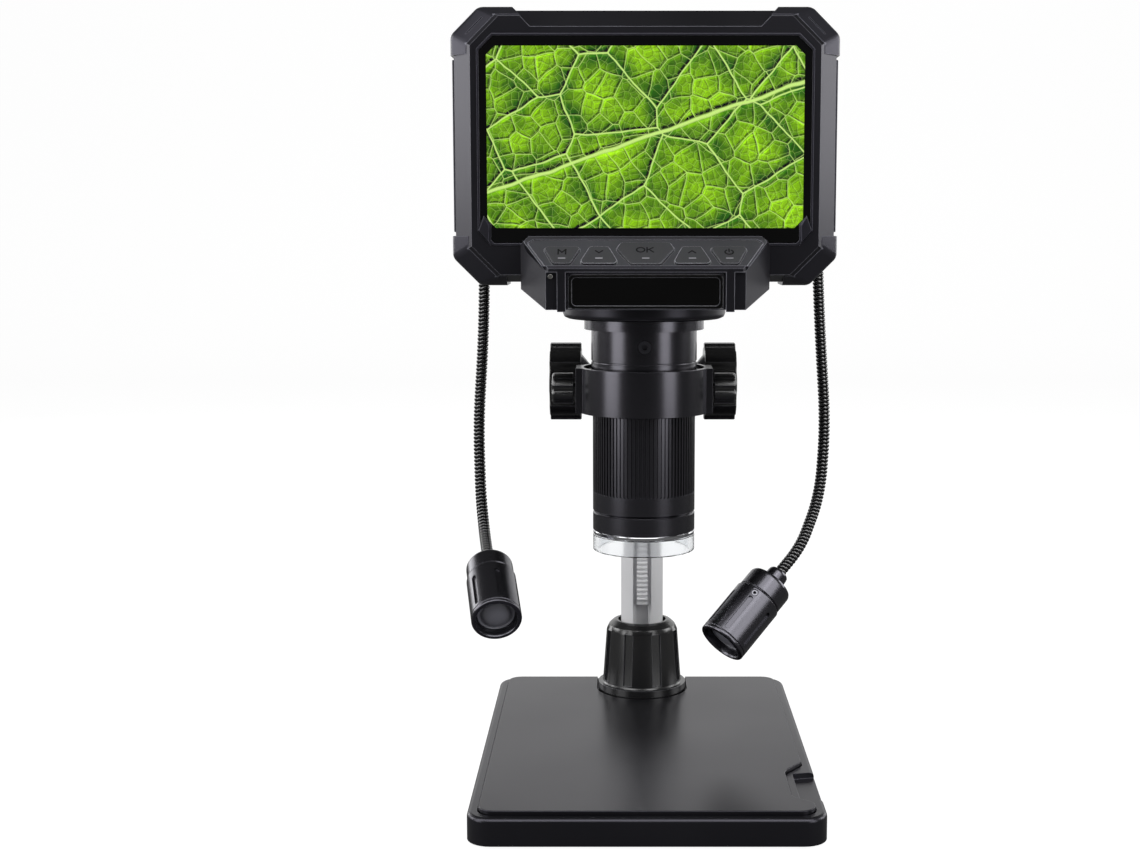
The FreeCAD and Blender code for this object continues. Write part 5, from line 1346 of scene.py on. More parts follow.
def on_slope(bm):
    # shapes are drawn with X across, -Y down the slope and Z above it
    turn = Matrix.Rotation(SLOPE_ANGLE, 4, "X")
    bmesh.ops.transform(bm, matrix=Matrix.Translation(SLOPE_START) @ turn, verts=bm.verts)
    return bm


def slope_points(outline, height, shift=0.0):
    return [Vector((x + shift, -down, height)) for x, down in outline]


def slope_prism(outline, low, high, shift=0.0):
    return on_slope(loft([slope_points(outline, low, shift), slope_points(outline, high, shift)]))


def control_outline(inset):
    top = COVER_HALF[0] - 1.0 - inset
    low = COVER_HALF[1] - 0.7 - inset
    end = SLOPE_LENGTH - 0.2 - inset
    return [(-top, 2.8), (1.8 - top, 0.7 + inset), (top - 1.8, 0.7 + inset), (top, 2.8), (low, end),
            (-low, end)]


def rounded_pane(half_width, low, high, corner, front, back):
    pane = bmesh.new()
    corners = [(-half_width, low), (half_width, low), (half_width, high), (-half_width, high)]
    pane.faces.new([pane.verts.new((x, back, z)) for x, z in corners])
    round_corners(pane, pane.verts[:], corner)
    return swept_face(pane, (0, front - back, 0))


# Outlines of the buttons as (across, down the slope), and how far each button sits from the middle
SIDE_WIDE = [(-4.7, 4.9), (4.7, 4.9), (5.4, 6.4), (2.6, 14.2), (-2.6, 14.2), (-5.4, 6.4)]
SIDE_NARROW = [(-2.8, 5.1), (2.8, 5.1), (5.4, 12.8), (4.9, 14.3), (-4.9, 14.3), (-5.4, 12.8)]
MIDDLE_KEY = [(-8.7, 6.2), (-7.3, 2.6), (7.3, 2.6), (8.7, 6.2), (4.5, 14.5), (-4.5, 14.5)]
BUTTONS = {
    "menu": (SIDE_WIDE, -24.8),
    "down": (SIDE_NARROW, -13.8),
    "ok": (MIDDLE_KEY, 0.0),
    "up": (SIDE_NARROW, 13.8),
    "power": (SIDE_WIDE, 24.8),
}


def offset_outline(outline, gap):
    # moves every side of a button's outline outwards by the gap; the outline runs clockwise seen from above
    count = len(outline)
    middle = Vector((sum(x for x, d in outline) / count, sum(d for x, d in outline) / count))
    moved = []
    for i in range(count):
        here = Vector(outline[i])
        before = (here - Vector(outline[i - 1])).normalized()
        after = (Vector(outline[(i + 1) % count]) - here).normalized()
        side = Vector((before.y, -before.x))
        if side.dot(here - middle) < 0:
            side = -side
        other = Vector((after.y, -after.x))
        if other.dot(here - middle) < 0:
            other = -other
        corner = (side + other).normalized()
        moved.append(tuple(here + corner * gap / max(corner.dot(side), 0.3)))
    return moved


def make_chin():
    side = [(FACE_Y, 168.0), (-10.5, 167.5), (-23.5, 159.5), (CHIN_FRONT_Y, 158.7), (CHIN_FRONT_Y, 146.0),
            (FACE_Y, 152.6)]
    body = prism([Vector((-60, y, z)) for y, z in side], (120, 0, 0))
    w, f = CHIN_HALF
    plan = [(-w, 0), (-w, -10.4), (-f, CHIN_FRONT_Y), (f, CHIN_FRONT_Y), (w, -10.4), (w, 0)]
    plan = prism([Vector((x, y, 130)) for x, y in plan], (0, 0, 60))
    front = [(-w, 140), (w, 140), (w, 165.6), (w - 2.8, 168.4), (2.8 - w, 168.4), (-w, 165.6)]
    front = prism(facing_front(front, -40), (0, 40, 0))
    body = carve(body, [plan], "INTERSECT")
    body = carve(body, [front], "INTERSECT")
    rims = []
    for top, low, end, height in ((COVER_HALF[0], COVER_HALF[1], SLOPE_LENGTH, 0),
                                  (COVER_HALF[0] + 0.2, f + 0.2, SLOPE_LENGTH + 0.7, -COVER_DEEP)):
        outline = [(-top, 2.4), (2.0 - top, 0), (top - 2.0, 0), (top, 2.4), (low, end), (-low, end)]
        rims.append(slope_points(outline, height))
    cover = carve(on_slope(loft(rims)), [box((-60, -60, 100), (60, FACE_Y, 200))], "INTERSECT")
    body = carve(body, [cover], "UNION")
    collar = rod(COLLAR_RADIUS + CLOSE_FIT, (0, BARREL_Y, 130), (0, BARREL_Y, COLLAR_TOP), FINE_STEPS)
    seat = slope_prism(control_outline(0), PANEL_DEPTH[0], 3.0)
    room = slope_prism([(-32.0, 2.2), (32.0, 2.2), (28.6, 14.8), (-28.6, 14.8)], -3.6, -1.0)
    window_seat = box((-23.6, CHIN_FRONT_Y - 1.0, 145.0), (23.6, CHIN_FRONT_Y + 1.3, 157.7))
    reach = WINDOW_HALF_WIDTH + 0.05
    low, high = WINDOW_HEIGHTS
    pocket = box((-reach, CHIN_FRONT_Y, low - 0.05), (reach, CHIN_FRONT_Y + 2.3, high + 0.05))
    near, far = CHANNEL_ENDS
    channels = [box((x, CHIN_FRONT_Y - 1.0, 140), (x + far - near, CHIN_FRONT_Y + 1.2, 157.7))
                for x in (-far, near)]
    body = carve(body, [collar, seat, room, window_seat, pocket] + channels)
    soften(body, 0.4, 2, 20.0, lambda edge: edge.calc_length() > 2.0 and highest(edge, Y) < FACE_Y - 0.3)
    finish(body, "chin_moulding", "microscope", satin_abs, ["control_chin"], MOULDED)
    panel = slope_prism(control_outline(0.15), *PANEL_DEPTH)
    holes = []
    for points, shift in BUTTONS.values():
        outline = offset_outline(points, BUTTON_GAP)
        hole = loft([slope_points(outline, -2.0, shift), slope_points(outline, 2.0, shift)])
        holes.append(on_slope(soften(hole, 0.9, 5, 20.0, lambda edge: climb(edge) > 1.0)))
    panel = carve(panel, holes)
    soften(panel, 0.12, 2, 60.0)
    finish(panel, "button_surround", "microscope", slope_abs, ["control_panel"], MOULDED)
    window = rounded_pane(WINDOW_HALF_WIDTH, low, high, 1.5, CHIN_FRONT_Y + 0.5, CHIN_FRONT_Y + 2.3)
    sunk = rounded_pane(WINDOW_HALF_WIDTH - 1.0, low + 0.9, high - 0.9, 1.3, CHIN_FRONT_Y - 0.5,
                        CHIN_FRONT_Y + 0.8)
    window = carve(window, [sunk])
    soften(window, 0.22, 2, 40.0, lambda edge: highest(edge, Y) < CHIN_FRONT_Y + 0.6)
    finish(window, "chin_pane", "microscope", smoked_acrylic, ["chin_window"], TURNED)
    pin = rod(0.75, (-28.05, CHIN_FRONT_Y + 1.3, 156.4), (-28.05, CHIN_FRONT_Y + 0.5, 156.4), 24)
    soften(pin, 0.15, 2)
    finish(pin, "channel_pin", "microscope", machine_steel, (), TURNED)


def make_buttons():
    rise = bpy.context.scene.microscope_sizes.button_rise / MM
    for name, (outline, shift) in BUTTONS.items():
        cap = loft([slope_points(outline, -2.2, shift), slope_points(outline, rise, shift)])
        soften(cap, 0.8, 5, 20.0, lambda edge: climb(edge) > 1.0)
        soften(cap, 0.38, 3, 60.0, lambda edge: lowest(edge, Z) > rise - 0.01)
        on_slope(cap)
        finish(cap, name + "_key", name + "_button", key_abs, [name + "_button"], MOULDED)
        for kind, ink, marks in (("_sign", dark_ink, key_signs(name, rise)),
                                 ("_bar", label_ink, [key_bar(rise)])):
            mark = on_slope(merged(marks))
            bmesh.ops.translate(mark, vec=(shift, 0, 0), verts=mark.verts)
            finish(mark, name + kind, name + "_button", ink, (), TURNED)


def stroke(points, width, height):
    # a printed line of even width through the points
    bars = []
    for start, end in zip(points, points[1:]):
        start, end = Vector((start[0], -start[1], height)), Vector((end[0], -end[1], height))
        run = end - start
        half = run.length / 2 + width / 2
        bar = box((-half, -width / 2, -INK_RISE / 2), (half, width / 2, INK_RISE))
        turn = Matrix.Rotation(math.atan2(run.y, run.x), 4, "Z")
        bmesh.ops.transform(bar, matrix=Matrix.Translation((start + end) / 2) @ turn, verts=bar.verts)
        bars.append(bar)
    return merged(bars)


def arc_points(centre, radius, start, end, steps):
    angles = [math.radians(start + (end - start) * i / steps) for i in range(steps + 1)]
    return [(centre[0] + radius * math.sin(angle), centre[1] - radius * math.cos(angle))
            for angle in angles]


def key_signs(name, height):
    # the letters and signs on the keys, as (across, down the slope)
    drawings = {"menu": [[(-1.1, 9.4), (-1.1, 6.9), (0.0, 8.5), (1.1, 6.9), (1.1, 9.4)]],
                "down": [[(-1.0, 7.6), (0.0, 8.7), (1.0, 7.6)]],
                "up": [[(-1.0, 8.7), (0.0, 7.6), (1.0, 8.7)]],
                "ok": [arc_points((-1.45, 7.1), 1.2, 0, 360, 20), [(0.45, 5.9), (0.45, 8.3)],
                       [(2.2, 5.9), (0.5, 7.25)], [(1.05, 6.85), (2.3, 8.3)]],
                "power": [arc_points((0.0, 8.3), 1.2, 35, 325, 20), [(0.0, 6.7), (0.0, 8.1)]],}
    return [stroke(points, SIGN_WIDTH, height) for points in drawings[name]]


def key_bar(height):
    return stroke([(-0.9, 11.6), (0.9, 11.6)], BAR_WIDTH, height)


# Lamps on their wound arms

def lamp_pivot(name):
    back, aim = LAMPS[name]
    return back - aim * NECK_BACK


def arm_route(name):
    # the corners of the arm's line, from the yoke down behind the head to the lamp
    pivot = lamp_pivot(name)
    aim = LAMPS[name][1]
    if name == "left":
        return [Vector((-11.0, COLUMN_Y, YOKE_Z)), Vector((-53.6, COLUMN_Y, YOKE_Z)),
                Vector((-53.9, 52.5, 138.0)), Vector((-55.9, 49.0, 104.0)), Vector((-55.0, 44.5, 80.0)),
                pivot - aim * 16.0, pivot]
    return [Vector((11.0, COLUMN_Y, YOKE_Z)), Vector((58.4, COLUMN_Y, YOKE_Z)), Vector((60.3, 52.5, 138.0)),
            Vector((62.2, 48.0, 104.0)), Vector((59.6, 38.5, 81.0)), pivot - aim * 14.0, pivot]


def arm_curve(name):
    # a Bezier line with straight runs, and a rounded corner at each inner point of the route
    route = arm_route(name)
    knots = []
    for before, corner, after in zip(route, route[1:], route[2:]):
        reach = 0.45 * min((before - corner).length, (after - corner).length)
        into = (before - corner).normalized()
        out = (after - corner).normalized()
        half = into.angle(out) / 2
        handle = 4 / 3 * math.tan((math.pi / 2 - half) / 2) * reach * math.tan(half)
        knots.append((corner + into * reach, corner + into * (reach + 1.0),
                      corner + into * (reach - handle)))
        knots.append((corner + out * reach, corner + out * (reach - handle), corner + out * (reach + 1.0)))
    first, last = route[0], route[-1]
    knots.insert(0, (first, first, first + (route[1] - first) * 0.1))
    knots.append((last, last + (route[-2] - last) * 0.1, last))
    curve = bpy.data.curves.new("arm_line", "CURVE")
    curve.dimensions = "3D"
    curve.resolution_u = 48
    spline = curve.splines.new("BEZIER")
    spline.bezier_points.add(len(knots) - 1)
    for point, (place_at, left, right) in zip(spline.bezier_points, knots):
        point.handle_left_type = "FREE"
        point.handle_right_type = "FREE"
        point.co = place_at
        point.handle_left = left
        point.handle_right = right
    return curve


def wound_turn(pitch, steps=16):
    # one turn of a spring coil about Z: a half-round strip that climbs by its own width
    strip = []
    for degrees in range(0, 181, 30):
        angle = math.radians(degrees)
        strip.append((ARM_RADIUS - STRIP_THICKNESS * (1 - math.sin(angle)), 0.5 - 0.5 * math.cos(angle)))
    bm = bmesh.new()
    verts = [bm.verts.new((radius, 0, share * pitch)) for radius, share in strip]
    edges = [bm.edges.new(pair) for pair in zip(verts, verts[1:])]
    bmesh.ops.spin(bm, geom=verts + edges, cent=(0, 0, 0), axis=(0, 0, 1), dvec=(0, 0, pitch / steps),
                   angle=2 * math.pi, steps=steps)
    return bm


def make_arms():
    for name in LAMPS:
        line = bpy.data.objects.new("arm_line", arm_curve(name))
        bpy.context.collection.objects.link(line)
        length = line.data.splines[0].calc_length()
        turns = round(length * MM / bpy.context.scene.microscope_sizes.winding_pitch)
        blank = loose_object(wound_turn(length / turns))
        winding = blank.modifiers.new("Winding", "ARRAY")
        winding.count = turns
        winding.use_relative_offset = False
        winding.use_constant_offset = True
        winding.constant_offset_displace = (0, 0, length / turns)
        winding.use_merge_vertices = True
        winding.merge_threshold = 0.005
        bend = blank.modifiers.new("Bend", "CURVE")
        bend.object = line
        bend.deform_axis = "POS_Z"
        mesh = bpy.data.meshes.new_from_object(blank.evaluated_get(bpy.context.evaluated_depsgraph_get()))
        sheath = bmesh.new()
        sheath.from_mesh(mesh)
        for used in (blank, line):
            bpy.data.objects.remove(used)
        bmesh.ops.holes_fill(sheath, edges=[edge for edge in sheath.edges if edge.is_boundary])
        ball = bmesh.new()
        bmesh.ops.create_uvsphere(ball, u_segments=32, v_segments=16, radius=NECK_BALL_RADIUS)
        place(ball, lamp_pivot(name))
        finish(merged([sheath, ball]), "sheath_" + name, "lamp_arm_" + name, lacquered_steel,
               ["lamp_arm_" + name], 60.0)


def lamp_slot(turn, low, high):
    # a sunk slot with round ends, along the lamp
    depth, width = LAMP_SLOT_SIZE
    reach = LAMP_RADIUS
    bar = box((reach - depth, -width / 2, low), (reach + 1.0, width / 2, high))
    ends = [rod(width / 2, (reach - depth, 0, z), (reach + 1.0, 0, z), 16) for z in (low, high)]
    slot = carve(bar, ends, "UNION")
    return turned(slot, turn)


def make_lamps():
    start, end = LAMP_CAP_LENGTH, LAMP_LENGTH
    for name, (back, aim) in LAMPS.items():
        cap = lathe([(0, -4.5), (3.05, -4.5), (3.3, -4.2), (3.5, -3.4), (3.6, 0), (6.6, 0), (7.2, 0.25),
                     (7.55, 0.9), (7.6, 1.6), (7.6, start - 0.35), (7.25, start - 0.1), (7.25, start),
                     (6.6, start), (6.6, 3.0), (0, 3.0)], closed=False)
        seat = bmesh.new()
        bmesh.ops.create_uvsphere(seat, u_segments=32, v_segments=16, radius=NECK_BALL_RADIUS + SLIDE_FIT)
        place(seat, (0, 0, -NECK_BACK))
        mouth = lathe([(0, -5.0), (3.1, -5.0), (2.28, -2.4), (0, -2.4)], SMALL_STEPS, closed=False)
        cap = carve(cap, [seat, mouth])
        soften(cap, 0.15, 2, 40.0)
        place(cap, back, aim)
        finish(cap, "cap_" + name, "lamp_" + name, blasted_anodised, ["lamp_cap_" + name],
               TURNED)
        body = lathe([(7.25, start + 0.02), (7.6, start + 0.25), (8.0, start + 0.6), (8.0, end - 1.6),
                      (7.8, end - 1.5), (7.8, end - 1.3), (8.0, end - 1.2), (8.0, end - 0.5),
                      (7.85, end - 0.15), (7.4, end), (6.8, end), (6.4, end - 0.8), (6.4, end - 2.6),
                      (6.0, end - 2.6), (6.0, start + 0.02)], ROUND_STEPS)
        slots = [lamp_slot(360.0 / LAMP_SLOTS * i, start + 4.6, end - 3.4) for i in range(LAMP_SLOTS)]
        hole_at = start + GRUB_SCREW_AT
        holes = [rod(GRUB_SCREW_RADIUS, (side * 6.9, 0, hole_at), (side * 9.0, 0, hole_at), SMALL_STEPS)
                 for side in (-1, 1)]
        body = carve(body, slots + holes)
        soften(body, 0.12, 2, 40.0)
        place(turned(body, LAMP_TURNS[name]), back, aim)
        finish(body, "body_" + name, "lamp_" + name, blasted_anodised, ["lamp_body_" + name],
               TURNED)
        screws = []
        for side in (-1, 1):
            screw = lathe([(0.55, 0), (1.12, 0), (1.12, 0.75), (0.95, 0.9), (0.55, 0.9)], SMALL_STEPS)
            screws.append(place(screw, (side * 6.95, 0, hole_at), (side, 0, 0)))
        grub = merged(screws)
        place(turned(grub, LAMP_TURNS[name]), back, aim)
        finish(grub, "grub_screws_" + name, "lamp_" + name, socket_steel, (), TURNED)
        lens = lathe([(0, end - 4.4), (6.0, end - 4.4), (6.0, end - 2.8), (5.9, end - 2.6),
                      (5.6, end - 2.6), (5.4, end - 2.9), (4.9, end - 2.95), (4.7, end - 2.8),
                      (4.5, end - 2.55), (3.8, end - 2.15), (2.8, end - 1.9), (1.4, end - 1.73),
                      (0, end - 1.7)], 64, closed=False)
        place(lens, back, aim)
        finish(lens, "lens_" + name, "lamp_" + name, lamp_dome, ["lamp_lens_" + name],
               50.0)


# Parts whose solids are used as they are, and the finish of each

KEPT = {
    "boss_screw": machine_steel,
    "rack": milled_steel,
    "lamp_inlet": machine_steel,
    "shaft_bushes": bearing_brass,
    "tension_screw": machine_steel,
    "holder_screws": oxided_steel,
    "thumb_tip_right": black_nylon,
    "thumb_tip_left": black_nylon,
    "pinion_shaft": machine_steel,
    "barrel_screw": oxided_steel,
    "led_ring_board": circuit_board,
    "sensor_board": circuit_board,
    "lens_cell": turned_anodised,
    "main_board": circuit_board,
    "battery": battery_film,
    "keypad": grey_silicone,
    "lamp_led_right": lamp_board,
    "lamp_led_left": lamp_board,
}


# Studio

def softbox(name, size, radiance, azimuth, elevation, distance, height):
    # a rectangular lamp facing the object; azimuth 0 is in front of it and 90 on its right
    light = bpy.data.lights.new(name, "AREA")
    light.shape = "RECTANGLE"
    light.size, light.size_y = size
    light.energy = radiance * math.pi * size[0] * size[1]
    lamp = bpy.data.objects.new(name, light)
    bpy.context.collection.objects.link(lamp)
    turn, rise = math.radians(azimuth), math.radians(elevation)
    away = Vector((math.sin(turn) * math.cos(rise), -math.cos(turn) * math.cos(rise), math.sin(rise)))
    lamp.location = Vector((0, 0, height)) + away * distance
    lamp.rotation_euler = away.to_track_quat("Z", "Y").to_euler()


# Where the paper starts to be lifted for a kind of ray, and where it is fully lifted, as millimetres along
# Y
PAPER_LIFTS = {"Is Transmission Ray": (-300.0, -90.0), "Is Glossy Ray": (750.0, 1150.0)}


def paper_white(name, glow):
    # Seamless studio paper: pressed matt fibres that scatter the light evenly, so it shows no highlight. It
    # is grey for the light that it throws on the object, and lifted to white where the eye sees it.
    material, coords = start_finish(name)
    fibre = add_node(material, "ShaderNodeTexNoise", {"Vector": coords, "Scale": 1 / 40, "Detail": 2.0})
    tone = add_node(material, "ShaderNodeMix", {"Factor": fibre.outputs["Fac"], 6: "#606060", 7: "#646464"},
                    data_type="RGBA")
    path = add_node(material, "ShaderNodeLightPath")
    parts = add_node(material, "ShaderNodeSeparateXYZ", {0: coords})
    # through the clear guard the paper is lifted from just behind the object on, and in reflections only
    # where it starts to rise, as black parts would turn grey over a bright floor
    strength = path.outputs["Is Camera Ray"]
    for ray, (near, far) in PAPER_LIFTS.items():
        behind = add_node(material, "ShaderNodeMapRange", {"Value": parts.outputs["Y"], "From Min": near,
                                                           "From Max": far})
        share = add_node(material, "ShaderNodeMath", {0: behind.outputs["Result"], 1: path.outputs[ray]},
                         operation="MULTIPLY")
        strength = add_node(material, "ShaderNodeMath", {0: strength, 1: share.outputs[0]},
                            operation="MAXIMUM").outputs[0]
    lifted = add_node(material, "ShaderNodeMath", {0: strength, 1: glow}, operation="MULTIPLY")
    return end_finish(material, {"Base Color": tone.outputs[2], "Roughness": 0.9, "Specular IOR Level": 0.0,
                                 "Emission Color": "#ffffff", "Emission Strength": lifted.outputs[0]})


def make_stage():
    # the paper lies flat, and rises behind the object, high enough for its reflection in the base
    profile = [(PAPER_FRONT, 0.0), (PAPER_BEND_START, 0.0)]
    for degrees in range(10, 91, 10):
        angle = math.radians(degrees)
        profile.append((PAPER_BEND_START + PAPER_BEND_RADIUS * math.sin(angle),
                        PAPER_BEND_RADIUS * (1 - math.cos(angle))))
    profile.append((PAPER_BEND_START + PAPER_BEND_RADIUS, PAPER_TOP))
    bm = bmesh.new()
    verts = [bm.verts.new((-PAPER_HALF_WIDTH, y, z)) for y, z in profile]
    edges = [bm.edges.new(pair) for pair in zip(verts, verts[1:])]
    swept = bmesh.ops.extrude_edge_only(bm, edges=edges)
    moved = [v for v in swept["geom"] if isinstance(v, bmesh.types.BMVert)]
    bmesh.ops.translate(bm, vec=(2 * PAPER_HALF_WIDTH, 0, 0), verts=moved)
    bmesh.ops.recalc_face_normals(bm, faces=bm.faces)
    mesh = bpy.data.meshes.new("paper_sweep")
    bm.to_mesh(mesh)
    bm.free()
    mesh.polygons.foreach_set("use_smooth", [True] * len(mesh.polygons))
    mesh.materials.append(paper_white("paper_white", bpy.context.scene.microscope_stage.paper_glow))
    sweep = bpy.data.objects.new("paper_sweep", mesh)
    bpy.context.collection.objects.link(sweep)


def make_world():
    # an even, dim light all round; the eye sees the room as white beyond the paper
    world = bpy.data.worlds.new("room")
    world.use_nodes = True
    room = world.node_tree.nodes["Background"]
    room.inputs["Color"].default_value = linear("#ffffff")
    path = add_node(world, "ShaderNodeLightPath")
    level = bpy.context.scene.microscope_stage.room_light
    strength = add_node(world, "ShaderNodeMapRange", {"Value": path.outputs["Is Camera Ray"],
                                                      "To Min": level, "To Max": 1.0})
    world.node_tree.links.new(strength.outputs["Result"], room.inputs["Strength"])
    bpy.context.scene.world = world


def make_camera():
    data = bpy.data.cameras.new("camera")
    data.lens = CAMERA_LENS_MM
    data.sensor_width = CAMERA_SENSOR_MM
    data.shift_x = CAMERA_SHIFT
    data.clip_end = 20.0
    camera = bpy.data.objects.new("camera", data)
    bpy.context.collection.objects.link(camera)
    camera.location = CAMERA_PLACE
    camera.rotation_euler = (math.radians(CAMERA_TILT), 0, 0)
    bpy.context.scene.camera = camera


# Settings that a user would change

class MicroscopeSizes(bpy.types.PropertyGroup):
    """Sizes of the fine shapes"""
    edge_rounding: FloatProperty(name="Edge rounding",
                                 description="Radius of the small edges of the corner guards",
                                 default=0.3 * MM, min=0.05 * MM, max=0.8 * MM, unit="LENGTH", precision=5)
    rib_count: IntProperty(name="Grip ribs", description="Ribs round the focus ring", default=80, min=24,
                           max=120)
    rib_depth: FloatProperty(name="Rib depth",
                             description="Depth of the grooves between the ribs of the focus ring",
                             default=0.35 * MM, min=0.1 * MM, max=0.6 * MM, unit="LENGTH", precision=5)
    button_rise: FloatProperty(name="Button rise", description="How far the buttons stand above the slope",
                               default=0.35 * MM, min=0.1 * MM, max=0.5 * MM, unit="LENGTH", precision=5)
    winding_pitch: FloatProperty(name="Winding pitch",
                                 description="Distance between the turns of the wound arms",
                                 default=1.3 * MM, min=0.5 * MM, max=2.0 * MM, unit="LENGTH", precision=5)


def colour_property(name, description, hex_colour):
    return FloatVectorProperty(name=name, description=description, subtype="COLOR", size=4, min=0.0,
                               max=1.0, default=linear(hex_colour))


class MicroscopeColours(bpy.types.PropertyGroup):
    """Colours of the finishes"""
    enamel: colour_property("Base enamel", "Stoved enamel of the base and its plate", "#0b0b0d")
    gloss_plastic: colour_property("Gloss plastic", "Polished plastic of the knobs, the boss and the yoke",
                                   "#0b0b0c")
    housing: colour_property("Housing", "Moulded plastic of the head", "#08080a")
    bumper: colour_property("Corner guards", "Elastomer of the corners and side grips", "#141417")
    surround: colour_property("Button surround", "Moulded plastic round the buttons", "#1f1f23")
    anodised: colour_property("Anodised black", "Oxide of the turned and milled aluminium", "#060607")
    chrome: colour_property("Column chrome", "Satin chrome of the column", "#f2f2f4")
    sheath: colour_property("Arm sheath", "Lacquer of the wound arms", "#070708")
    marks: colour_property("Key bars", "Ink of the short bars under the signs on the keys", "#8f8f94")
    leaf: colour_property("Leaf, light", "Bright fields of the leaf on the screen", "#93cc08")
    leaf_dark: colour_property("Leaf, dark", "Darker fields of the leaf on the screen", "#215c00")
    vein: colour_property("Leaf veins", "Veins of the leaf on the screen", "#d2f284")


class MicroscopeStage(bpy.types.PropertyGroup):
    """Light of the studio"""
    paper_glow: FloatProperty(name="Paper lift",
                              description="Light added to the paper where the eye or a reflection sees it",
                              default=0.95, min=0.0, max=1.0)
    room_light: FloatProperty(name="Room light", description="Strength of the even light of the room",
                              default=0.07, min=0.0, max=1.0)
    lamp_level: FloatProperty(name="Lamp level", description="Strength of all softboxes together",
                              default=1.0, min=0.0, max=4.0)


# Operators, one for each piece or group of like pieces

class MICROSCOPE_OT_base(bpy.types.Operator):
    """Cast base, stage plate and foam pad"""
    bl_idname = "microscope.base"
    bl_label = "Base and Stage"

    def execute(self, context):
        make_base()
        return {"FINISHED"}


class MICROSCOPE_OT_column(bpy.types.Operator):
    """Column, its moulded boss and the lamp yoke on top"""
    bl_idname = "microscope.column"
    bl_label = "Column"

    def execute(self, context):
        make_boss()
        make_column()
        make_yoke()
        return {"FINISHED"}


class MICROSCOPE_OT_carriage(bpy.types.Operator):
    """Focus block, holder ring and liner that ride on the column"""
    bl_idname = "microscope.carriage"
    bl_label = "Carriage"

    def execute(self, context):
        make_focus_block()
        make_ring_holder()
        return {"FINISHED"}


class MICROSCOPE_OT_knobs(bpy.types.Operator):
    """Focus knobs and thumbscrews"""
    bl_idname = "microscope.knobs"
    bl_label = "Knobs"

    def execute(self, context):
        make_knobs()
        return {"FINISHED"}


class MICROSCOPE_OT_barrel(bpy.types.Operator):
    """Barrel, focus ring, nose, guard and front lens"""
    bl_idname = "microscope.barrel"
    bl_label = "Barrel"

    def execute(self, context):
        make_barrel()
        make_focus_ring()
        return {"FINISHED"}


class MICROSCOPE_OT_housing(bpy.types.Operator):
    """Bezel, rear shell, corner guards, side grips and neck ring of the head"""
    bl_idname = "microscope.housing"
    bl_label = "Housing"

    def execute(self, context):
        make_bezel()
        make_rear_shell()
        make_bumpers()
        make_grips()
        make_collar()
        return {"FINISHED"}


class MICROSCOPE_OT_screen(bpy.types.Operator):
    """Cover pane, printed border and lit picture"""
    bl_idname = "microscope.screen"
    bl_label = "Screen"

    def execute(self, context):
        make_screen()
        return {"FINISHED"}


class MICROSCOPE_OT_chin(bpy.types.Operator):
    """Control chin with its button surround and window"""
    bl_idname = "microscope.chin"
    bl_label = "Control Chin"

    def execute(self, context):
        make_chin()
        return {"FINISHED"}


class MICROSCOPE_OT_buttons(bpy.types.Operator):
    """Five keys with their marks"""
    bl_idname = "microscope.buttons"
    bl_label = "Buttons"

    def execute(self, context):
        make_buttons()
        return {"FINISHED"}


class MICROSCOPE_OT_arms(bpy.types.Operator):
    """Wound arms of the two lamps"""
    bl_idname = "microscope.arms"
    bl_label = "Lamp Arms"

    def execute(self, context):
        make_arms()
        return {"FINISHED"}


class MICROSCOPE_OT_lamps(bpy.types.Operator):
    """Caps, bodies, grub screws and lenses of the two lamps"""
    bl_idname = "microscope.lamps"
    bl_label = "Lamps"

    def execute(self, context):
        make_lamps()
        return {"FINISHED"}


class MICROSCOPE_OT_kept_parts(bpy.types.Operator):
    """Finishes of the screws, shafts and boards whose solids are used as they are"""
    bl_idname = "microscope.kept_parts"
    bl_label = "Screws and Boards"

    def execute(self, context):
        for node, make in KEPT.items():
            paint(node, surface(make))
        return {"FINISHED"}


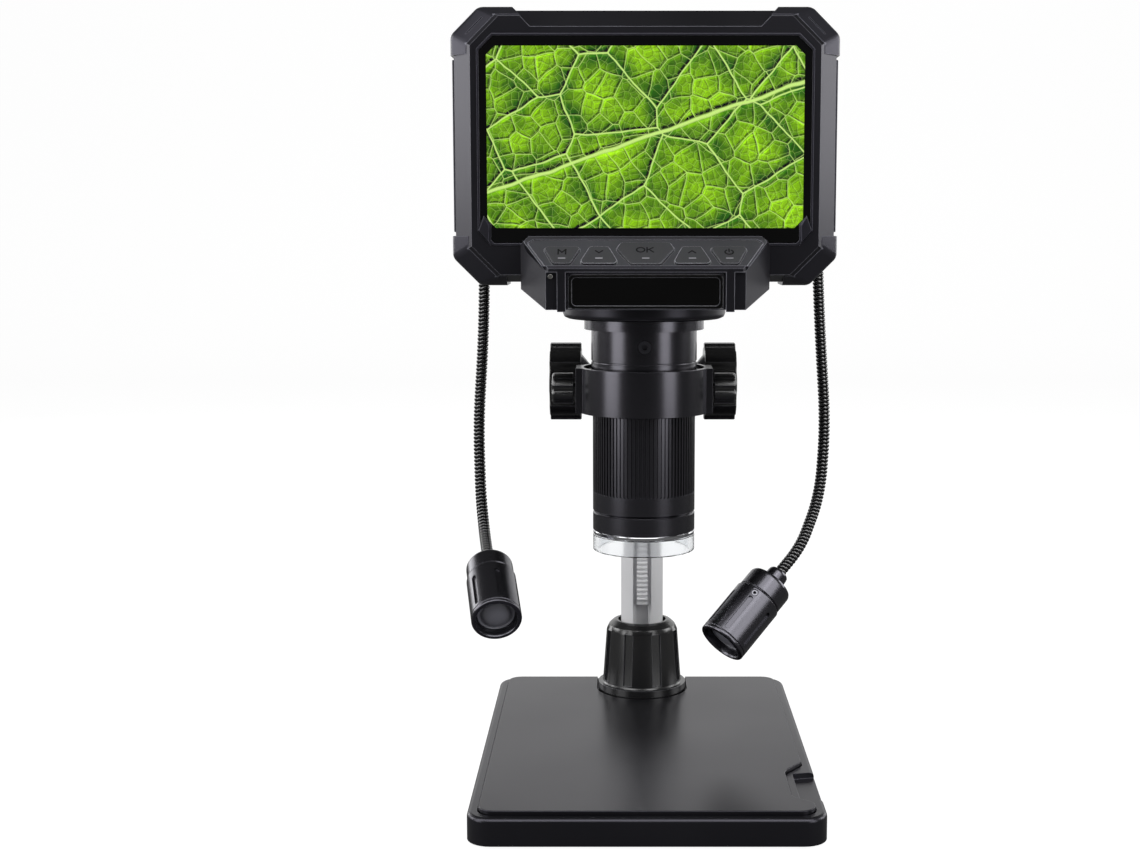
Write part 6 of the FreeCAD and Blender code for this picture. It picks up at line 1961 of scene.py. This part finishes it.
class MICROSCOPE_OT_stage(bpy.types.Operator):
    """Paper sweep, room, softboxes and camera"""
    bl_idname = "microscope.stage"
    bl_label = "Studio"

    def execute(self, context):
        make_stage()
        make_world()
        level = context.scene.microscope_stage.lamp_level
        for name, (size, radiance, *where) in SOFTBOXES.items():
            softbox(name, size, radiance * level, *where)
        make_camera()
        context.scene.view_settings.view_transform = "Standard"
        return {"FINISHED"}


PIECES = (MICROSCOPE_OT_base, MICROSCOPE_OT_column, MICROSCOPE_OT_carriage, MICROSCOPE_OT_knobs,
          MICROSCOPE_OT_barrel, MICROSCOPE_OT_housing, MICROSCOPE_OT_screen, MICROSCOPE_OT_chin,
          MICROSCOPE_OT_buttons, MICROSCOPE_OT_arms, MICROSCOPE_OT_lamps, MICROSCOPE_OT_kept_parts,
          MICROSCOPE_OT_stage)


class MICROSCOPE_PT_panel(bpy.types.Panel):
    """Lists the pieces of the microscope and their settings"""
    bl_idname = "MICROSCOPE_PT_panel"
    bl_label = "LCD Microscope"
    bl_space_type = "VIEW_3D"
    bl_region_type = "UI"
    bl_category = "Microscope"

    def draw(self, context):
        layout = self.layout
        for group in (context.scene.microscope_sizes, context.scene.microscope_colours,
                      context.scene.microscope_stage):
            column = layout.column(align=True)
            for name in group.bl_rna.properties.keys():
                if name not in {"rna_type", "name"}:
                    column.prop(group, name)
        for piece in PIECES:
            layout.operator(piece.bl_idname)


CLASSES = (MicroscopeSizes, MicroscopeColours, MicroscopeStage) + PIECES + (MICROSCOPE_PT_panel,)


def register():
    for kind in CLASSES:
        bpy.utils.register_class(kind)
    bpy.types.Scene.microscope_sizes = PointerProperty(type=MicroscopeSizes)
    bpy.types.Scene.microscope_colours = PointerProperty(type=MicroscopeColours)
    bpy.types.Scene.microscope_stage = PointerProperty(type=MicroscopeStage)


def unregister():
    del bpy.types.Scene.microscope_stage
    del bpy.types.Scene.microscope_colours
    del bpy.types.Scene.microscope_sizes
    for kind in reversed(CLASSES):
        bpy.utils.unregister_class(kind)


def main():
    register()
    for piece in PIECES:
        family, name = piece.bl_idname.split(".")
        getattr(getattr(bpy.ops, family), name)()


if __name__ == "__main__":
    main()
